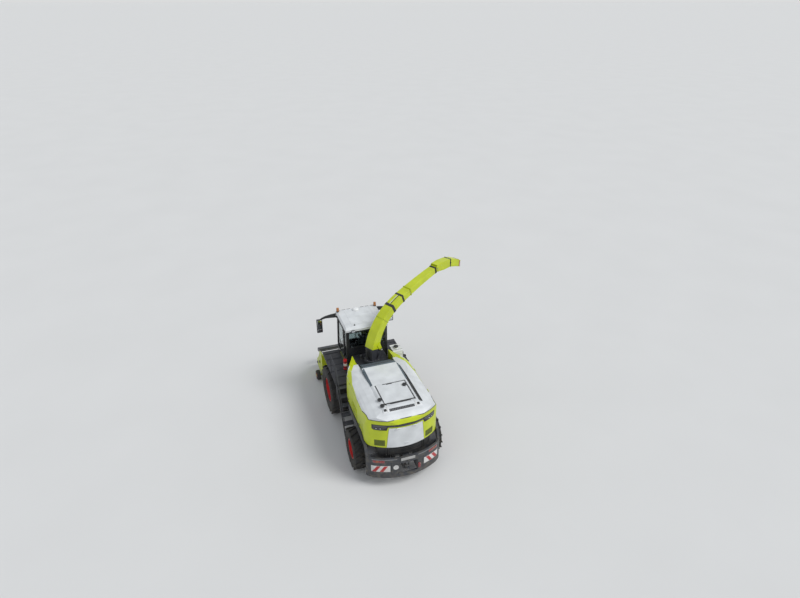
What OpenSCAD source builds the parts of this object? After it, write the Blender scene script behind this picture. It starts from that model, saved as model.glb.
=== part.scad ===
// Self-propelled forage harvester with a three metre pick-up header.
// Millimetres. X points forward, Y to the machine's left, Z up, and the
// ground is at zero. Inside the modules the front axle is at x = 0, and
// placed() moves everything so that the origin is under the middle.

/* [Machine] */
// Distance between the front and rear axles
wheelbase = 3500; // [3200:10:3800]
// Forward shift of the whole machine
shift_x = 812.5; // [0:0.5:2000]
// Sideways shift of the whole machine
shift_y = 1559.75; // [-2000:0.25:2000]

/* [Front wheels] */
// Tyre diameter over the lugs
front_tyre_d = 2080; // [1950:10:2150]
// Tyre width
front_tyre_w = 780; // [600:10:800]
// Rim diameter at the bead seat
front_rim_d = 965; // [860:5:1070]
// Distance from the centre line to the middle of the tyre
front_wheel_y = 1388; // [1350:1:1450]
// Lugs on each side of the tread
front_lugs = 18; // [14:1:20]

/* [Rear wheels] */
// Tyre diameter over the lugs
rear_tyre_d = 1580; // [1450:10:1640]
// Tyre width
rear_tyre_w = 600; // [500:10:620]
// Rim diameter at the bead seat
rear_rim_d = 710; // [610:5:765]
// Distance from the centre line to the middle of the tyre
rear_wheel_y = 1430; // [1400:1:1450]
// Distance from the centre line to the kingpin
kingpin_y = 1000; // [960:1:1020]
// Lugs on each side of the tread
rear_lugs = 16; // [12:1:18]

/* [Tread and rims] */
// Height of a lug above the tread
lug_h = 46; // [30:1:60]
// Width of a lug
lug_w = 62; // [40:1:80]
// Angle of a lug to the axle
lug_angle = 42; // [35:1:50]
// Thickness of the rim's metal
rim_t = 14; // [8:1:25]
// Play between a turning hub and its spigot, and at other pins
pin_play = 0.5; // [0.3:0.1:1]
// Play between pieces of one body that seat on each other
seat_play = 0.3; // [0.2:0.1:0.5]

/* [Body shell] */
// Thickness of body panels
panel_t = 30; // [20:1:40]
// Half width of the shell at its widest
shell_half_w = 1385; // [1300:5:1400]
// Bottom edge of the side panels
shell_bottom_z = 1960; // [1900:5:2000]
// Height of the joint between lime sides and white cover
shell_split_z = 2830; // [2780:5:2880]
// Height of the cover's flat top
shell_top_z = 3090; // [3050:5:3150]
// Rearmost point of the shell
shell_rear_x = -4990; // [-5050:5:-4900]
// Radius of the tail in plan
tail_bulge_r = 2000; // [1800:10:2400]
// Radius of the tail's corners in plan
tail_corner_r = 500; // [300:10:600]
// Front tip of the side fairings
fairing_front_x = -450; // [-600:5:-400]
// Where the fixed fairing ends and the side flap starts
flap_front_x = -1950; // [-2100:5:-1850]
// Where the side flap ends
flap_rear_x = -3850; // [-3900:5:-3700]
// Gap round flaps, lids and doors
panel_gap = 8; // [6:1:12]

/* [Hood and hatch] */
// Half width of the raised hood
hood_half_w = 720; // [650:5:760]
// Height of the raised hood
hood_z = 3150; // [3120:5:3200]
// Front edge of the raised hood
hood_front_x = -1870; // [-1950:5:-1800]
// Width of the slanted shoulder along the hood
shoulder_w = 70; // [50:5:90]
// Height of the slanted shoulder along the hood
shoulder_h = 52; // [40:2:54]
// Front edge of the top hatch
hatch_front_x = -3100; // [-3150:5:-3000]
// Length of the top hatch
hatch_len = 1230; // [1180:5:1290]
// Half width of the top hatch
hatch_half_w = 600; // [500:5:640]
// Thickness of the hatch lid
hatch_t = 28; // [20:1:40]

/* [Tail] */
// Bottom edge of the tail panel
tail_bottom_z = 1730; // [1680:5:1800]
// Top edge of the tail panel
tail_top_z = 2590; // [2550:5:2610]
// Half width of the tail panel at its top
tail_half_top = 620; // [550:5:680]
// Half width of the tail panel at its bottom
tail_half_bottom = 700; // [600:5:760]
// Height of the rear lamp band in the middle
lamp_band_h = 100; // [80:5:120]
// How far the lamp band reaches lower at its ends
lamp_drop = 140; // [110:5:150]
// Rearmost point of the bumper
bumper_rear_x = -5140; // [-5200:5:-5050]
// Bottom edge of the bumper
bumper_bottom_z = 450; // [400:5:550]
// Top edge of the bumper
bumper_top_z = 1360; // [1300:5:1400]
// Half width of the bumper
bumper_half_w = 1420; // [1380:5:1440]
// Half width of the hitch recess
recess_half_w = 380; // [320:5:450]

/* [Cab] */
// Half width of the cab's walls
cab_half_w = 870; // [840:5:890]
// Cab floor height
cab_floor_z = 2020; // [1990:5:2050]
// Top of the cab walls, under the roof
cab_wall_top_z = 3790; // [3750:5:3820]
// Back wall of the cab
cab_rear_x = -170; // [-200:5:-120]
// Foot of the windscreen
cab_front_x = 1585; // [1500:5:1620]
// Thickness of cab walls and doors
cab_t = 46; // [36:1:60]
// Rear edge of the cab door
door_rear_x = 330; // [300:5:400]
// Thickness of window glass
glass_t = 6; // [4:1:8]
// Thickness of the roof at its rim
roof_t = 130; // [100:5:160]

/* [Spout] */
// Middle of the spout's turret, along the machine
turret_x = -850; // [-900:5:-800]
// Inner radius of the turret ring
turret_r = 250; // [230:5:270]
// Height of the turret ring
turret_z = 2760; // [2740:5:2800]
// Bearing of the spout from straight ahead, to the left
spout_yaw = -62; // [-90:1:90]
// Width of the spout at its foot
spout_foot_w = 430; // [380:5:460]
// Width of the spout at its end
spout_end_w = 300; // [260:5:340]
// Sheet thickness of the spout
spout_t = 12; // [8:1:20]
// Reach of the spout from its turret to the tip of its flap
spout_reach = 5480; // [5400:10:5600]

/* [Header] */
// Half width between the header's side plates
header_half_w = 1500; // [1400:10:1550]
// Height of the pivot of the feeder housing
lift_pivot_z = 1180; // [1150:5:1210]
// Place of the pivot of the feeder housing
lift_pivot_x = 640; // [600:5:700]
// Radius of the pick-up over the tine tips
reel_tip_r = 330; // [300:5:340]
// Radius of the pick-up's stripper bands
reel_band_r = 225; // [200:5:240]
// Rows of tines round the pick-up
reel_rows = 5; // [4:1:6]
// Distance between tines of a row
tine_pitch = 170; // [120:5:250]
// Radius of the auger over its flights
auger_r = 290; // [250:5:310]
// Radius of the auger's tube
auger_tube_r = 150; // [130:5:170]
// Diameter of the gauge wheels
gauge_d = 460; // [400:10:500]

/* [Hidden] */
front_r = front_tyre_d / 2;
rear_r = rear_tyre_d / 2;
rear_x = -wheelbase;
reel_x = 3150;
reel_z = reel_tip_r + 55;
auger_x = 2600;
auger_z = 760;
gauge_x = 2330;
gauge_y = header_half_w + 200;
chute_half_w = 330;
rail_y = 420;
rail_w = 110;
rail_h = 240;
rail_bottom = 1200;
rail_top = rail_bottom + rail_h;
deck_z = 2600;
boom_pivot = [300, 3180];
spout_lift_a = [250, 2900];
spout_lift_b = [500, 3800];
spout_eye_play = 6;
flap_pivot = [3840, 5540];
hatch_rear_x = hatch_front_x - hatch_len;
big = 9000;
spigot_front = 300;
spigot_rear = 220;
lift_a = [430, 560];
lift_b = [1500, 700];
lift_y = rail_y;
eye_play = 6;
guard_z = 1690;
floor_edge_z = 2160;
platform_z = 2146;
cant_y = shell_half_w - 105.2;
post_y = shell_half_w - 183;
press_pivot = [2500, 1290];

// Placing and shaping helpers
module placed() {
    translate([shift_x, shift_y, 0]) children();
}

module both_sides() {
    children();
    mirror([0, 1, 0]) children();
}

module y_prism(outline, y0, y1) {
    translate([0, y1, 0]) rotate([90, 0, 0])
        linear_extrude(y1 - y0) polygon(outline);
}

module x_prism(outline, x0, x1) {
    translate([x0, 0, 0]) rotate([90, 0, 90])
        linear_extrude(x1 - x0) polygon(outline);
}

module z_prism(outline, z0, z1) {
    translate([0, 0, z0]) linear_extrude(z1 - z0) polygon(outline);
}

module block(x0, x1, y0, y1, z0, z1) {
    translate([x0, y0, z0]) cube([x1 - x0, y1 - y0, z1 - z0]);
}

module y_rod(x, z, r, y0, y1) {
    translate([x, y0, z]) rotate([-90, 0, 0])
        cylinder(r = r, h = y1 - y0, $fn = 48);
}

module x_rod(y, z, r, x0, x1) {
    translate([x0, y, z]) rotate([0, 90, 0])
        cylinder(r = r, h = x1 - x0, $fn = 32);
}

module z_rod(x, y, r, z0, z1) {
    translate([x, y, z0]) cylinder(r = r, h = z1 - z0, $fn = 48);
}

module rod(a, b, d) {
    v = b - a;
    translate(a) rotate([0, acos(v[2] / norm(v)), atan2(v[1], v[0])])
        cylinder(d = d, h = norm(v), $fn = 48);
}

// Wheels
module tyre(od, w, rim_d) {
    r = od / 2 - lug_h;
    b = rim_d / 2 + seat_play;
    h = w / 2;
    rotate([-90, 0, 0]) rotate_extrude($fn = 64)
        polygon([[b, -h * 0.78], [b + 34, -h * 0.78],
            [b + 75, -h * 0.9], [(b + r) / 2, -h],
            [r - 70, -h * 0.97], [r - 14, -h * 0.84], [r, -h * 0.4],
            [r, h * 0.4], [r - 14, h * 0.84], [r - 70, h * 0.97],
            [(b + r) / 2, h], [b + 75, h * 0.9],
            [b + 34, h * 0.78], [b, h * 0.78],
            [b, h * 0.66], [b + 60, h * 0.6], [b + 60, -h * 0.6],
            [b, -h * 0.66]]);
}

module lug(od, w) {
    run = w / 2 * 0.93;
    lean = run * tan(90 - lug_angle) * 0.62;
    z0 = od / 2 - lug_h - 40;
    translate([0, 0, z0]) linear_extrude(60 + lug_h)
        polygon([[-lug_w / 2, -10], [lug_w / 2, -10],
            [lug_w / 2 - lean * 0.55, run * 0.55],
            [lug_w / 2 - lean * 0.86, run],
            [-lug_w / 2 - lean * 0.86, run],
            [-lug_w / 2 - lean * 0.55, run * 0.55]]);
}

module treaded_tyre(od, w, rim_d, lugs) {
    tyre(od, w, rim_d);
    intersection() {
        y_rod(0, 0, od / 2, -w / 2, w / 2);
        union() for (i = [0 : lugs - 1]) {
            rotate([0, i * 360 / lugs, 0]) lug(od, w);
            rotate([0, (i + 0.5) * 360 / lugs, 0])
                mirror([0, 1, 0]) lug(od, w);
        }
    }
}

// Rim with its disc; the disc stands at disc_y outboard of the middle
module rim(rim_d, w, disc_y, spigot_d, bolts) {
    r = rim_d / 2;
    h = w / 2 * 0.78;
    s = spigot_d / 2 + pin_play;
    slant = r - 46 - spigot_d / 2 - 130;
    difference() {
        rotate([-90, 0, 0]) mirror([0, 0, 1]) rotate_extrude($fn = 64)
            polygon([[r, -h], [r + 26, -h - 3], [r + 26, -h - rim_t],
                [r - rim_t, -h - rim_t], [r - rim_t, -h * 0.62],
                [r - 46, -h * 0.52], [r - 46, -disc_y - 60],
                [spigot_d / 2 + 130, -disc_y - rim_t * 1.6],
                [s, -disc_y - rim_t * 1.6], [s, -disc_y],
                [spigot_d / 2 + 130, -disc_y],
                [r - 46, -disc_y - 36],
                [r - 46, h * 0.52], [r - rim_t, h * 0.62],
                [r - rim_t, h + rim_t], [r + 26, h + rim_t],
                [r + 26, h + 3], [r, h], [r, h * 0.66],
                [r - 30, h * 0.52], [r - 30, -h * 0.52],
                [r, -h * 0.66]]);
        for (i = [0 : bolts - 1])
            rotate([0, i * 360 / bolts, 0])
                y_rod(spigot_d / 2 + 75, 0, 16, disc_y - 5,
                    disc_y + 60);
        // Hand holes in the slanted part of the disc
        for (i = [0 : bolts - 1])
            rotate([0, (i + 0.5) * 360 / bolts, 0])
                y_rod(r - 46 - slant / 2, 0, slant * 0.26,
                    disc_y - 10, disc_y + 90);
    }
}

module front_wheel_place(side) {
    translate([0, side * front_wheel_y, front_r]) children();
}

module rear_wheel_place(side) {
    translate([rear_x, side * rear_wheel_y, rear_r]) children();
}

module tyre_front_left() {
    color("#1c1c1e") placed() front_wheel_place(1)
        treaded_tyre(front_tyre_d, front_tyre_w, front_rim_d,
            front_lugs);
}

module tyre_front_right() {
    color("#1c1c1e") placed() front_wheel_place(-1)
        treaded_tyre(front_tyre_d, front_tyre_w, front_rim_d,
            front_lugs);
}

module tyre_rear_left() {
    color("#1c1c1e") placed() rear_wheel_place(1)
        treaded_tyre(rear_tyre_d, rear_tyre_w, rear_rim_d, rear_lugs);
}

module tyre_rear_right() {
    color("#1c1c1e") placed() rear_wheel_place(-1)
        treaded_tyre(rear_tyre_d, rear_tyre_w, rear_rim_d, rear_lugs);
}

front_disc_y = 90;
rear_disc_y = 40;

module rim_front_left() {
    color("#c8202a") placed() front_wheel_place(1)
        rim(front_rim_d, front_tyre_w, front_disc_y, spigot_front, 12);
}

module rim_front_right() {
    color("#c8202a") placed() mirror([0, 1, 0]) front_wheel_place(1)
        rim(front_rim_d, front_tyre_w, front_disc_y, spigot_front, 12);
}

module rim_rear_left() {
    color("#c8202a") placed() rear_wheel_place(1)
        rim(rear_rim_d, rear_tyre_w, rear_disc_y, spigot_rear, 10);
}

module rim_rear_right() {
    color("#c8202a") placed() mirror([0, 1, 0]) rear_wheel_place(1)
        rim(rear_rim_d, rear_tyre_w, rear_disc_y, spigot_rear, 10);
}

// Axles and knuckles
module axles() {
    front_axle();
    rear_axle();
}

module front_axle() {
    hub_y = front_wheel_y + front_disc_y;
    color("#2b2d30") placed() {
        block(-230, 230, -rail_y + rail_w / 2 + 2,
            rail_y - rail_w / 2 - 2, front_r - 300, front_r + 90);
        both_sides() {
            y_rod(0, front_r, 150, 250, 700);
            y_rod(0, front_r, 235, 690, hub_y - 3);
            y_rod(0, front_r, 270, 690, 880);
            y_rod(0, front_r, spigot_front / 2, hub_y - 4,
                hub_y + 70);
            // Saddles under the frame rails
            block(-140, 140, rail_y - rail_w / 2,
                rail_y + rail_w / 2, front_r + 60,
                rail_bottom - seat_play);
            // Forks of the lift cylinders
            for (y = [lift_y - 40, lift_y + 22]) difference() {
                y_prism([[-90, front_r - 90], [60, front_r - 20],
                    [lift_a[0] + 55, lift_a[1] + 50],
                    [lift_a[0] + 55, lift_a[1] - 50],
                    [lift_a[0] - 55, lift_a[1] - 50]], y, y + 18);
                y_rod(lift_a[0], lift_a[1], 25 + pin_play, y - 5,
                    y + 30);
            }
        }
    }
}

beam_h = 220;

module rear_axle() {
    z = rear_r;
    color("#2b2d30") placed() difference() {
        union() {
            x_prism([[-kingpin_y + 60, z - beam_h / 2],
                [-330, z - beam_h / 2 - 40], [330, z - beam_h / 2 - 40],
                [kingpin_y - 60, z - beam_h / 2],
                [kingpin_y - 60, z + beam_h / 2], [330,
                z + beam_h / 2 - 10], [-330, z + beam_h / 2 - 10],
                [-kingpin_y + 60, z + beam_h / 2]],
                rear_x - 110, rear_x + 110);
            both_sides()
                z_rod(rear_x, kingpin_y, 95, z - beam_h / 2,
                    z + beam_h / 2);
        }
        both_sides()
            z_rod(rear_x, kingpin_y, 45 + pin_play,
                z - beam_h / 2 - 5, z + beam_h / 2 + 5);
    }
}

module knuckle() {
    z = rear_r;
    ear = 46;
    disc = rear_wheel_y + rear_disc_y;
    translate([rear_x, 0, 0]) {
        z_rod(0, kingpin_y, 45, z - beam_h / 2 - ear - 6,
            z + beam_h / 2 + ear + 6);
        for (s = [-1, 1])
            translate([0, 0, z + s * (beam_h / 2 + 5 + ear / 2)
                - ear / 2]) {
                cylinder_at(0, kingpin_y, 92, ear);
                translate([-90, kingpin_y, 0])
                    cube([180, 175, ear]);
            }
        block(-90, 90, kingpin_y + 120, kingpin_y + 200,
            z - beam_h / 2 - 5 - ear, z + beam_h / 2 + 5 + ear);
        y_rod(0, z, 150, kingpin_y + 195, disc - 3);
        y_rod(0, z, spigot_rear / 2, disc - 4, disc + 60);
    }
}

module cylinder_at(x, y, r, h) {
    translate([x, y, 0]) cylinder(r = r, h = h, $fn = 48);
}

module knuckle_left() {
    color("#34363a") placed() knuckle();
}

module knuckle_right() {
    color("#34363a") placed() mirror([0, 1, 0]) knuckle();
}

// Chassis
module chassis_frame() {
    color("#3a3d42") placed() {
        both_sides() {
            difference() {
                union() {
                    block(-4700, lift_pivot_x + 90, rail_y - rail_w
                        / 2, rail_y + rail_w / 2, rail_bottom,
                        rail_top);
                    block(lift_pivot_x - 90, lift_pivot_x + 90,
                        rail_y - rail_w / 2, rail_y + rail_w / 2,
                        lift_pivot_z - 90, rail_bottom + 5);
                }
                y_rod(lift_pivot_x, lift_pivot_z, 40 + pin_play,
                    rail_y - rail_w, rail_y + rail_w);
            }
            // Side plates that hold the bumper
            block(-5090, -4600, recess_half_w - 20,
                recess_half_w - seat_play, 650, 1085);
            block(-4770, -4600, recess_half_w - 20,
                rail_y + 50, 1000, rail_bottom + 60);
        }
        // Cross members
        for (x = [-4680, -3600, -2500, -1300])
            block(x, x + 120, -rail_y, rail_y, rail_bottom + 30,
                rail_bottom + 200);
        // Rear axle saddle
        block(rear_x - 150, rear_x + 150, -260, 260,
            rear_r + beam_h / 2 - 10 + seat_play, rail_bottom + 60);
    }
}

// Outriggers and posts that carry the body shell
module body_frame() {
    color("#3a3d42") placed() both_sides() body_carriers();
}

module body_carriers() {
    for (x = [-3900, -2660]) {
        block(x, x + 90, 405, rail_y + rail_w / 2, rail_top + seat_play,
            guard_z + 60);
        block(x, x + 90, 405, post_y + 60, guard_z + seat_play,
            guard_z + 60);
        block(x, x + 90, post_y, post_y + 60, guard_z + 50, 2775);
    }
    block(flap_rear_x - 50, flap_front_x, post_y + 20, cant_y, 2770,
        shell_split_z - seat_play);
    block(-3900, flap_rear_x - 10, post_y + 20,
        shell_half_w - 31.1, 2345, 2355);
}

hitch_x = -5020;
hitch_z = 780;

module hitch() {
    top = rail_bottom + 30 - seat_play;
    y = recess_half_w - 20 - seat_play;
    color("#3a3d42") placed() difference() {
        union() {
            block(-4960, -4560, -130, 130, hitch_z - 110, top);
            both_sides() block(-4760, -4600, 130 + seat_play, y,
                rail_bottom - 60, top);
            // Two ears, welded on in front of the jaw
            for (z = [hitch_z + 45, hitch_z - 85])
                block(hitch_x - 60, -4960 - seat_play, -90, 90,
                    z, z + 40);
        }
        z_rod(hitch_x, 0, 16, hitch_z - 120, hitch_z + 120);
    }
}

module engine_block() {
    color("#55585c") placed()
        block(-3250, -1650, -rail_y + 20, rail_y - 20,
            rail_top + seat_play, 2450);
}

// Body shell, as three crossed outlines that share one inset
module shell_plan(inset) {
    r = tail_bulge_r - inset;
    c = tail_corner_r - inset;
    w = shell_half_w - inset;
    cx = shell_rear_x + tail_bulge_r;
    ky = shell_half_w - tail_corner_r;
    kx = cx - sqrt(pow(tail_bulge_r - tail_corner_r, 2) - ky * ky);
    ux = (kx - cx) / (tail_bulge_r - tail_corner_r);
    uy = ky / (tail_bulge_r - tail_corner_r);
    union() {
        // The front part narrows towards the cab
        polygon([[fairing_front_x - inset, 700 - inset],
            [-1300, 1080 - inset], [-1800, 1310 - inset],
            [-2050, w], [kx, w], [kx - 1, -w], [-2050, -w],
            [-1800, -1310 + inset], [-1300, -1080 + inset],
            [fairing_front_x - inset, -700 + inset]]);
        for (s = [-1, 1]) translate([kx, s * ky])
            circle(r = c, $fn = 96);
        intersection() {
            translate([cx, 0]) circle(r = r, $fn = 256);
            polygon([[cx, 0], [cx + ux * big, uy * big],
                [cx + ux * big, -uy * big]]);
        }
        polygon([[kx + 5, ky], [cx + ux * r * 0.9, uy * r * 0.9],
            [cx + ux * r * 0.9, -uy * r * 0.9], [kx + 5, -ky]]);
    }
}

module shell_half_section(inset) {
    w = shell_half_w - inset;
    top = shell_top_z - inset;
    side = [[w - 25, 1000], [w - 15, 1900], [w - 4, 2150],
        [w, 2350], [w - 12, 2520], [w - 36, 2680], [w - 75, 2830],
        [w - 130, 2898 - inset * 0.2], [w - 230, 2966 - inset * 0.4],
        [w - 400, 3040 - inset * 0.7], [760, top]];
    n = len(side);
    x_prism(concat(side,
        [for (i = [n - 1 : -1 : 0]) [-side[i][0], side[i][1]]]),
        -big, big);
}

module shell_body(inset) {
    top = shell_top_z - inset;
    intersection() {
        translate([0, 0, 1000]) linear_extrude(3000)
            shell_plan(inset);
        y_prism([[fairing_front_x + 50, 900],
            [fairing_front_x + 50, 2900 - inset],
            [-1300, 2950 - inset], [-2900, top], [-4440, top],
            [-4600, 3066 - inset], [-4720, 3022 - inset],
            [-4800 + inset * 0.3, 2972 - inset * 0.8],
            [-4868 + inset * 0.7, 2916 - inset * 0.5],
            [shell_rear_x + 70 + inset, 2850],
            [shell_rear_x + 32 + inset, 2760],
            [shell_rear_x - 2 + inset, 2640],
            [shell_rear_x - 20 + inset, 2500],
            [shell_rear_x - 20 + inset, 2100],
            [shell_rear_x + 30 + inset, 900]], -3000, 3000);
        shell_half_section(inset);
    }
}

module shell() {
    difference() {
        shell_body(0);
        shell_body(panel_t);
    }
}

// Tail panel outline, larger by a gap on every side
module tail_window(gap) {
    x_prism([[-tail_half_bottom - gap, tail_bottom_z - 400],
        [-tail_half_bottom - gap, tail_bottom_z],
        [-tail_half_top - gap, tail_top_z + gap],
        [tail_half_top + gap, tail_top_z + gap],
        [tail_half_bottom + gap, tail_bottom_z],
        [tail_half_bottom + gap, tail_bottom_z - 400]],
        -5400, -4700);
}

// The lamp band is low over the tail panel and deeper at both ends
lamp_band_z = tail_top_z + 40;
lamp_top_z = lamp_band_z + lamp_band_h;

module lamp_window(gap) {
    low = lamp_band_z - lamp_drop - gap;
    mid = lamp_band_z - gap;
    top = lamp_top_z + gap;
    in = tail_half_top + 30 - gap;
    out = 1170 + gap;
    x_prism([[-out, low + 60], [-out + 60, low], [-in - 50, low],
        [-in, mid], [in, mid], [in + 50, low], [out - 60, low],
        [out, low + 60], [out, top], [-out, top]], -5400, -4450);
}

tail_hinge = [shell_rear_x - 12, tail_top_z + 6];
flap_hinge = [shell_half_w - 53, shell_split_z - 14];
hatch_hinge = [hatch_rear_x, hood_z + 18];

// Fixed half of a hinge along Y: two lugs and the pin between them
module y_hinge_fixed(x, z, y, x1, z1) {
    for (s = [-1, 1]) translate([0, y + s * 55 - 15, 0]) {
        y_rod(x, z, 13, 0, 30);
        block(min(x, x1), max(x, x1), 0, 30, min(z, z1), max(z, z1));
    }
    y_rod(x, z, 6, y - 60, y + 60);
}

module y_hinge_moving(x, z, y, x1, z1) {
    difference() {
        union() {
            y_rod(x, z, 13, y - 37, y + 37);
            block(min(x, x1), max(x, x1), y - 37, y + 37,
                min(z, z1), max(z, z1));
        }
        y_rod(x, z, 6 + pin_play, y - 50, y + 50);
    }
}

module lime_panels() {
    color("#c3d600") placed() {
        for (y = [-300, 300])
            y_hinge_fixed(tail_hinge[0], tail_hinge[1], y,
                tail_hinge[0] + 40, tail_hinge[1] + 20);
        both_sides() for (x = [-2200, -3600])
            x_hinge_fixed(flap_hinge[0], flap_hinge[1], x,
                flap_hinge[0] - 36, shell_split_z - seat_play);
        difference() {
            shell();
            // What belongs to the white cover
            y_prism([[-1300, shell_split_z - seat_play],
                [-3950, shell_split_z - seat_play],
                [-4300, 2900 - seat_play], [-5400, 2900 - seat_play],
                [-5400, 4000], [-1300, 4000]], -2000, 2000);
            // Side flaps and their gaps
            block(flap_rear_x - panel_gap / 2,
                flap_front_x + panel_gap / 2, -2000, 2000, 900,
                shell_split_z - 12);
            // Open middle, ends and bottom
            block(flap_front_x, 0, -1600, 1600, 900, 1000);
            block(-1400, 0, -760, 760, 900, 4000);
            block(-6000, 0, -2000, 2000, 500, tail_bottom_z);
            y_prism([[0, 900], [0, shell_bottom_z],
                [-4000, shell_bottom_z + 20],
                [-4500, tail_bottom_z], [-4500, 900]], -2000, 2000);
            tail_window(panel_gap);
            lamp_window(seat_play);
        }
    }
}

module top_cover() {
    color("#eceef0") placed() {
        difference() {
            union() {
                intersection() {
                    shell();
                    y_prism([[-1300.5, shell_split_z],
                        [-3950, shell_split_z], [-4300, 2900],
                        [-5400, 2900], [-5400, 4000],
                        [-1300.5, 4000]], -2000, 2000);
                }
                hood_block(0);
            }
            block(hood_front_x - 1, 0, -hood_half_w, hood_half_w,
                2000, 3060);
            hood_block(panel_t);
            block(hatch_rear_x, hatch_front_x, -hatch_half_w,
                hatch_half_w, 2900, 3400);
        }
        for (y = [-450, 450])
            y_hinge_fixed(hatch_hinge[0], hatch_hinge[1], y,
                hatch_hinge[0] - 40, hood_z - 5);
    }
}

// The same hinge along X, for the side flaps
module x_hinge_fixed(y, z, x, y1, z1) {
    for (s = [-1, 1]) translate([x + s * 55 - 15, 0, 0]) {
        x_rod(y, z, 13, 0, 30);
        block(0, 30, min(y, y1), max(y, y1), min(z, z1), max(z, z1));
    }
    x_rod(y, z, 6, x - 60, x + 60);
}

module x_hinge_moving(y, z, x, y1, z1) {
    difference() {
        union() {
            x_rod(y, z, 13, x - 37, x + 37);
            block(x - 37, x + 37, min(y, y1), max(y, y1), min(z, z1),
                max(z, z1));
        }
        x_rod(y, z, 6 + pin_play, x - 50, x + 50);
    }
}

module hood_block(inset) {
    w = hood_half_w - inset;
    z = hood_z - shoulder_h - inset * 0.5;
    s = hood_half_w - shoulder_w - inset * 0.33;
    intersection() {
        y_prism([[hood_front_x - inset, 2990],
            [hood_front_x - inset, hood_z - 20 - inset],
            [hood_front_x - 60 - inset, hood_z - inset],
            [-4440, hood_z - inset],
            [-4540 + inset * 0.3, hood_z - 34 - inset * 0.8],
            [-4620 + inset, 3060 - inset],
            [-4620 + inset, 2990]], -w, w);
        x_prism([[-w, 2900], [w, 2900], [w, z], [s, hood_z - inset],
            [-s, hood_z - inset], [-w, z]], -5000, 0);
    }
}

// Strip that lies on the hood's shoulder and on the flank under it
module shoulder_strip(t) {
    p = [hood_half_w - shoulder_w, hood_z];
    q = [hood_half_w, hood_z - shoulder_h];
    n = [shoulder_h, shoulder_w] / norm([shoulder_h, shoulder_w]);
    x0 = hatch_front_x + 50;
    x1 = hood_front_x - 70;
    x_prism([p + n * seat_play, p + n * t, q + n * t,
        q + n * seat_play], x0, x1);
    // The cover under it rises by 140 mm over 1600 mm
    y_prism([[x1, 2958 + (-1300 - x1) * 0.0875],
        [x1, hood_z - shoulder_h + 2],
        [-2780, hood_z - shoulder_h + 2], [-2780, 3089]],
        hood_half_w + seat_play, hood_half_w + t);
}

// Slanted screen in front of the hood, with louvres at its sides
module intake_grille() {
    slope = atan2(hood_z - 2820, -hood_front_x - 1235);
    length = norm([hood_z - 2820, hood_front_x + 1235]);
    color("#5d6870") placed() {
        translate([-1235, 0, 2800]) rotate([0, slope, 0])
            difference() {
                translate([-length + 20, -650, 0])
                    cube([length - 20, 1300, 40]);
                for (i = [0 : 4])
                    translate([-length + 90 + i * 105, -600, 22])
                        cube([50, 1200, 40]);
            }
        both_sides() difference() {
            y_prism([[-1350, 2800], [-1350, 2850],
                [hood_front_x + 30, 3110],
                [hood_front_x - 0.7, 3050],
                [hood_front_x - 0.7, 2800]], 660, 700);
            for (i = [0 : 3])
                block(-1820 + i * 110, -1770 + i * 110, 650, 675,
                    2840, 2900 + 20);
        }
        // Louvres of the hood's shoulders
        both_sides() {
            shoulder_strip(6);
            intersection() {
                shoulder_strip(15);
                for (i = [0 : 13])
                    block(hatch_front_x + 60 + i * 80,
                        hatch_front_x + 84 + i * 80, 600, 800,
                        2900, 3200);
            }
        }
    }
}

// Dark deck round the spout's foot, behind the cab
module service_deck() {
    color("#33363d") placed() {
        difference() {
            union() {
                block(-1250, cab_rear_x - 20, -690, 690, deck_z,
                    deck_z + 40);
                y_prism([[-1260, deck_z - 500], [-1260, 2812.7],
                    [-1236, 2800.2], [-1230, 2796],
                    [-1230, deck_z - 500]], -690, 690);
                both_sides() block(-1150, cab_rear_x - 20, 650, 690,
                    rail_top + 20, deck_z + 10);
            }
            z_rod(turret_x, 0, turret_r + 60.8,
                deck_z - 10, deck_z + 60);
        }
        // Cross rails that carry the deck on the chassis
        for (x = [-1150, -420]) both_sides()
            block(x, x + 80, rail_y - 40, 690, rail_top + seat_play,
                rail_top + 80);
    }
}

// Mudguards over the rear wheels, side skirts and the bumper
module skirt_plan(inset) {
    r = 2500 - inset;
    cx = bumper_rear_x + 2500;
    intersection() {
        translate([cx, 0]) circle(r = r, $fn = 256);
        union() {
            polygon([[-4605, -bumper_half_w + inset],
                [-4605, bumper_half_w - inset],
                [-4700 - inset, bumper_half_w - 60 - inset],
                [-4900, bumper_half_w - 300 - inset], [-5300, 600],
                [-5300, -600],
                [-4900, -bumper_half_w + 300 + inset],
                [-4700 - inset, -bumper_half_w + 60 + inset]]);
        }
    }
}

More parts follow.
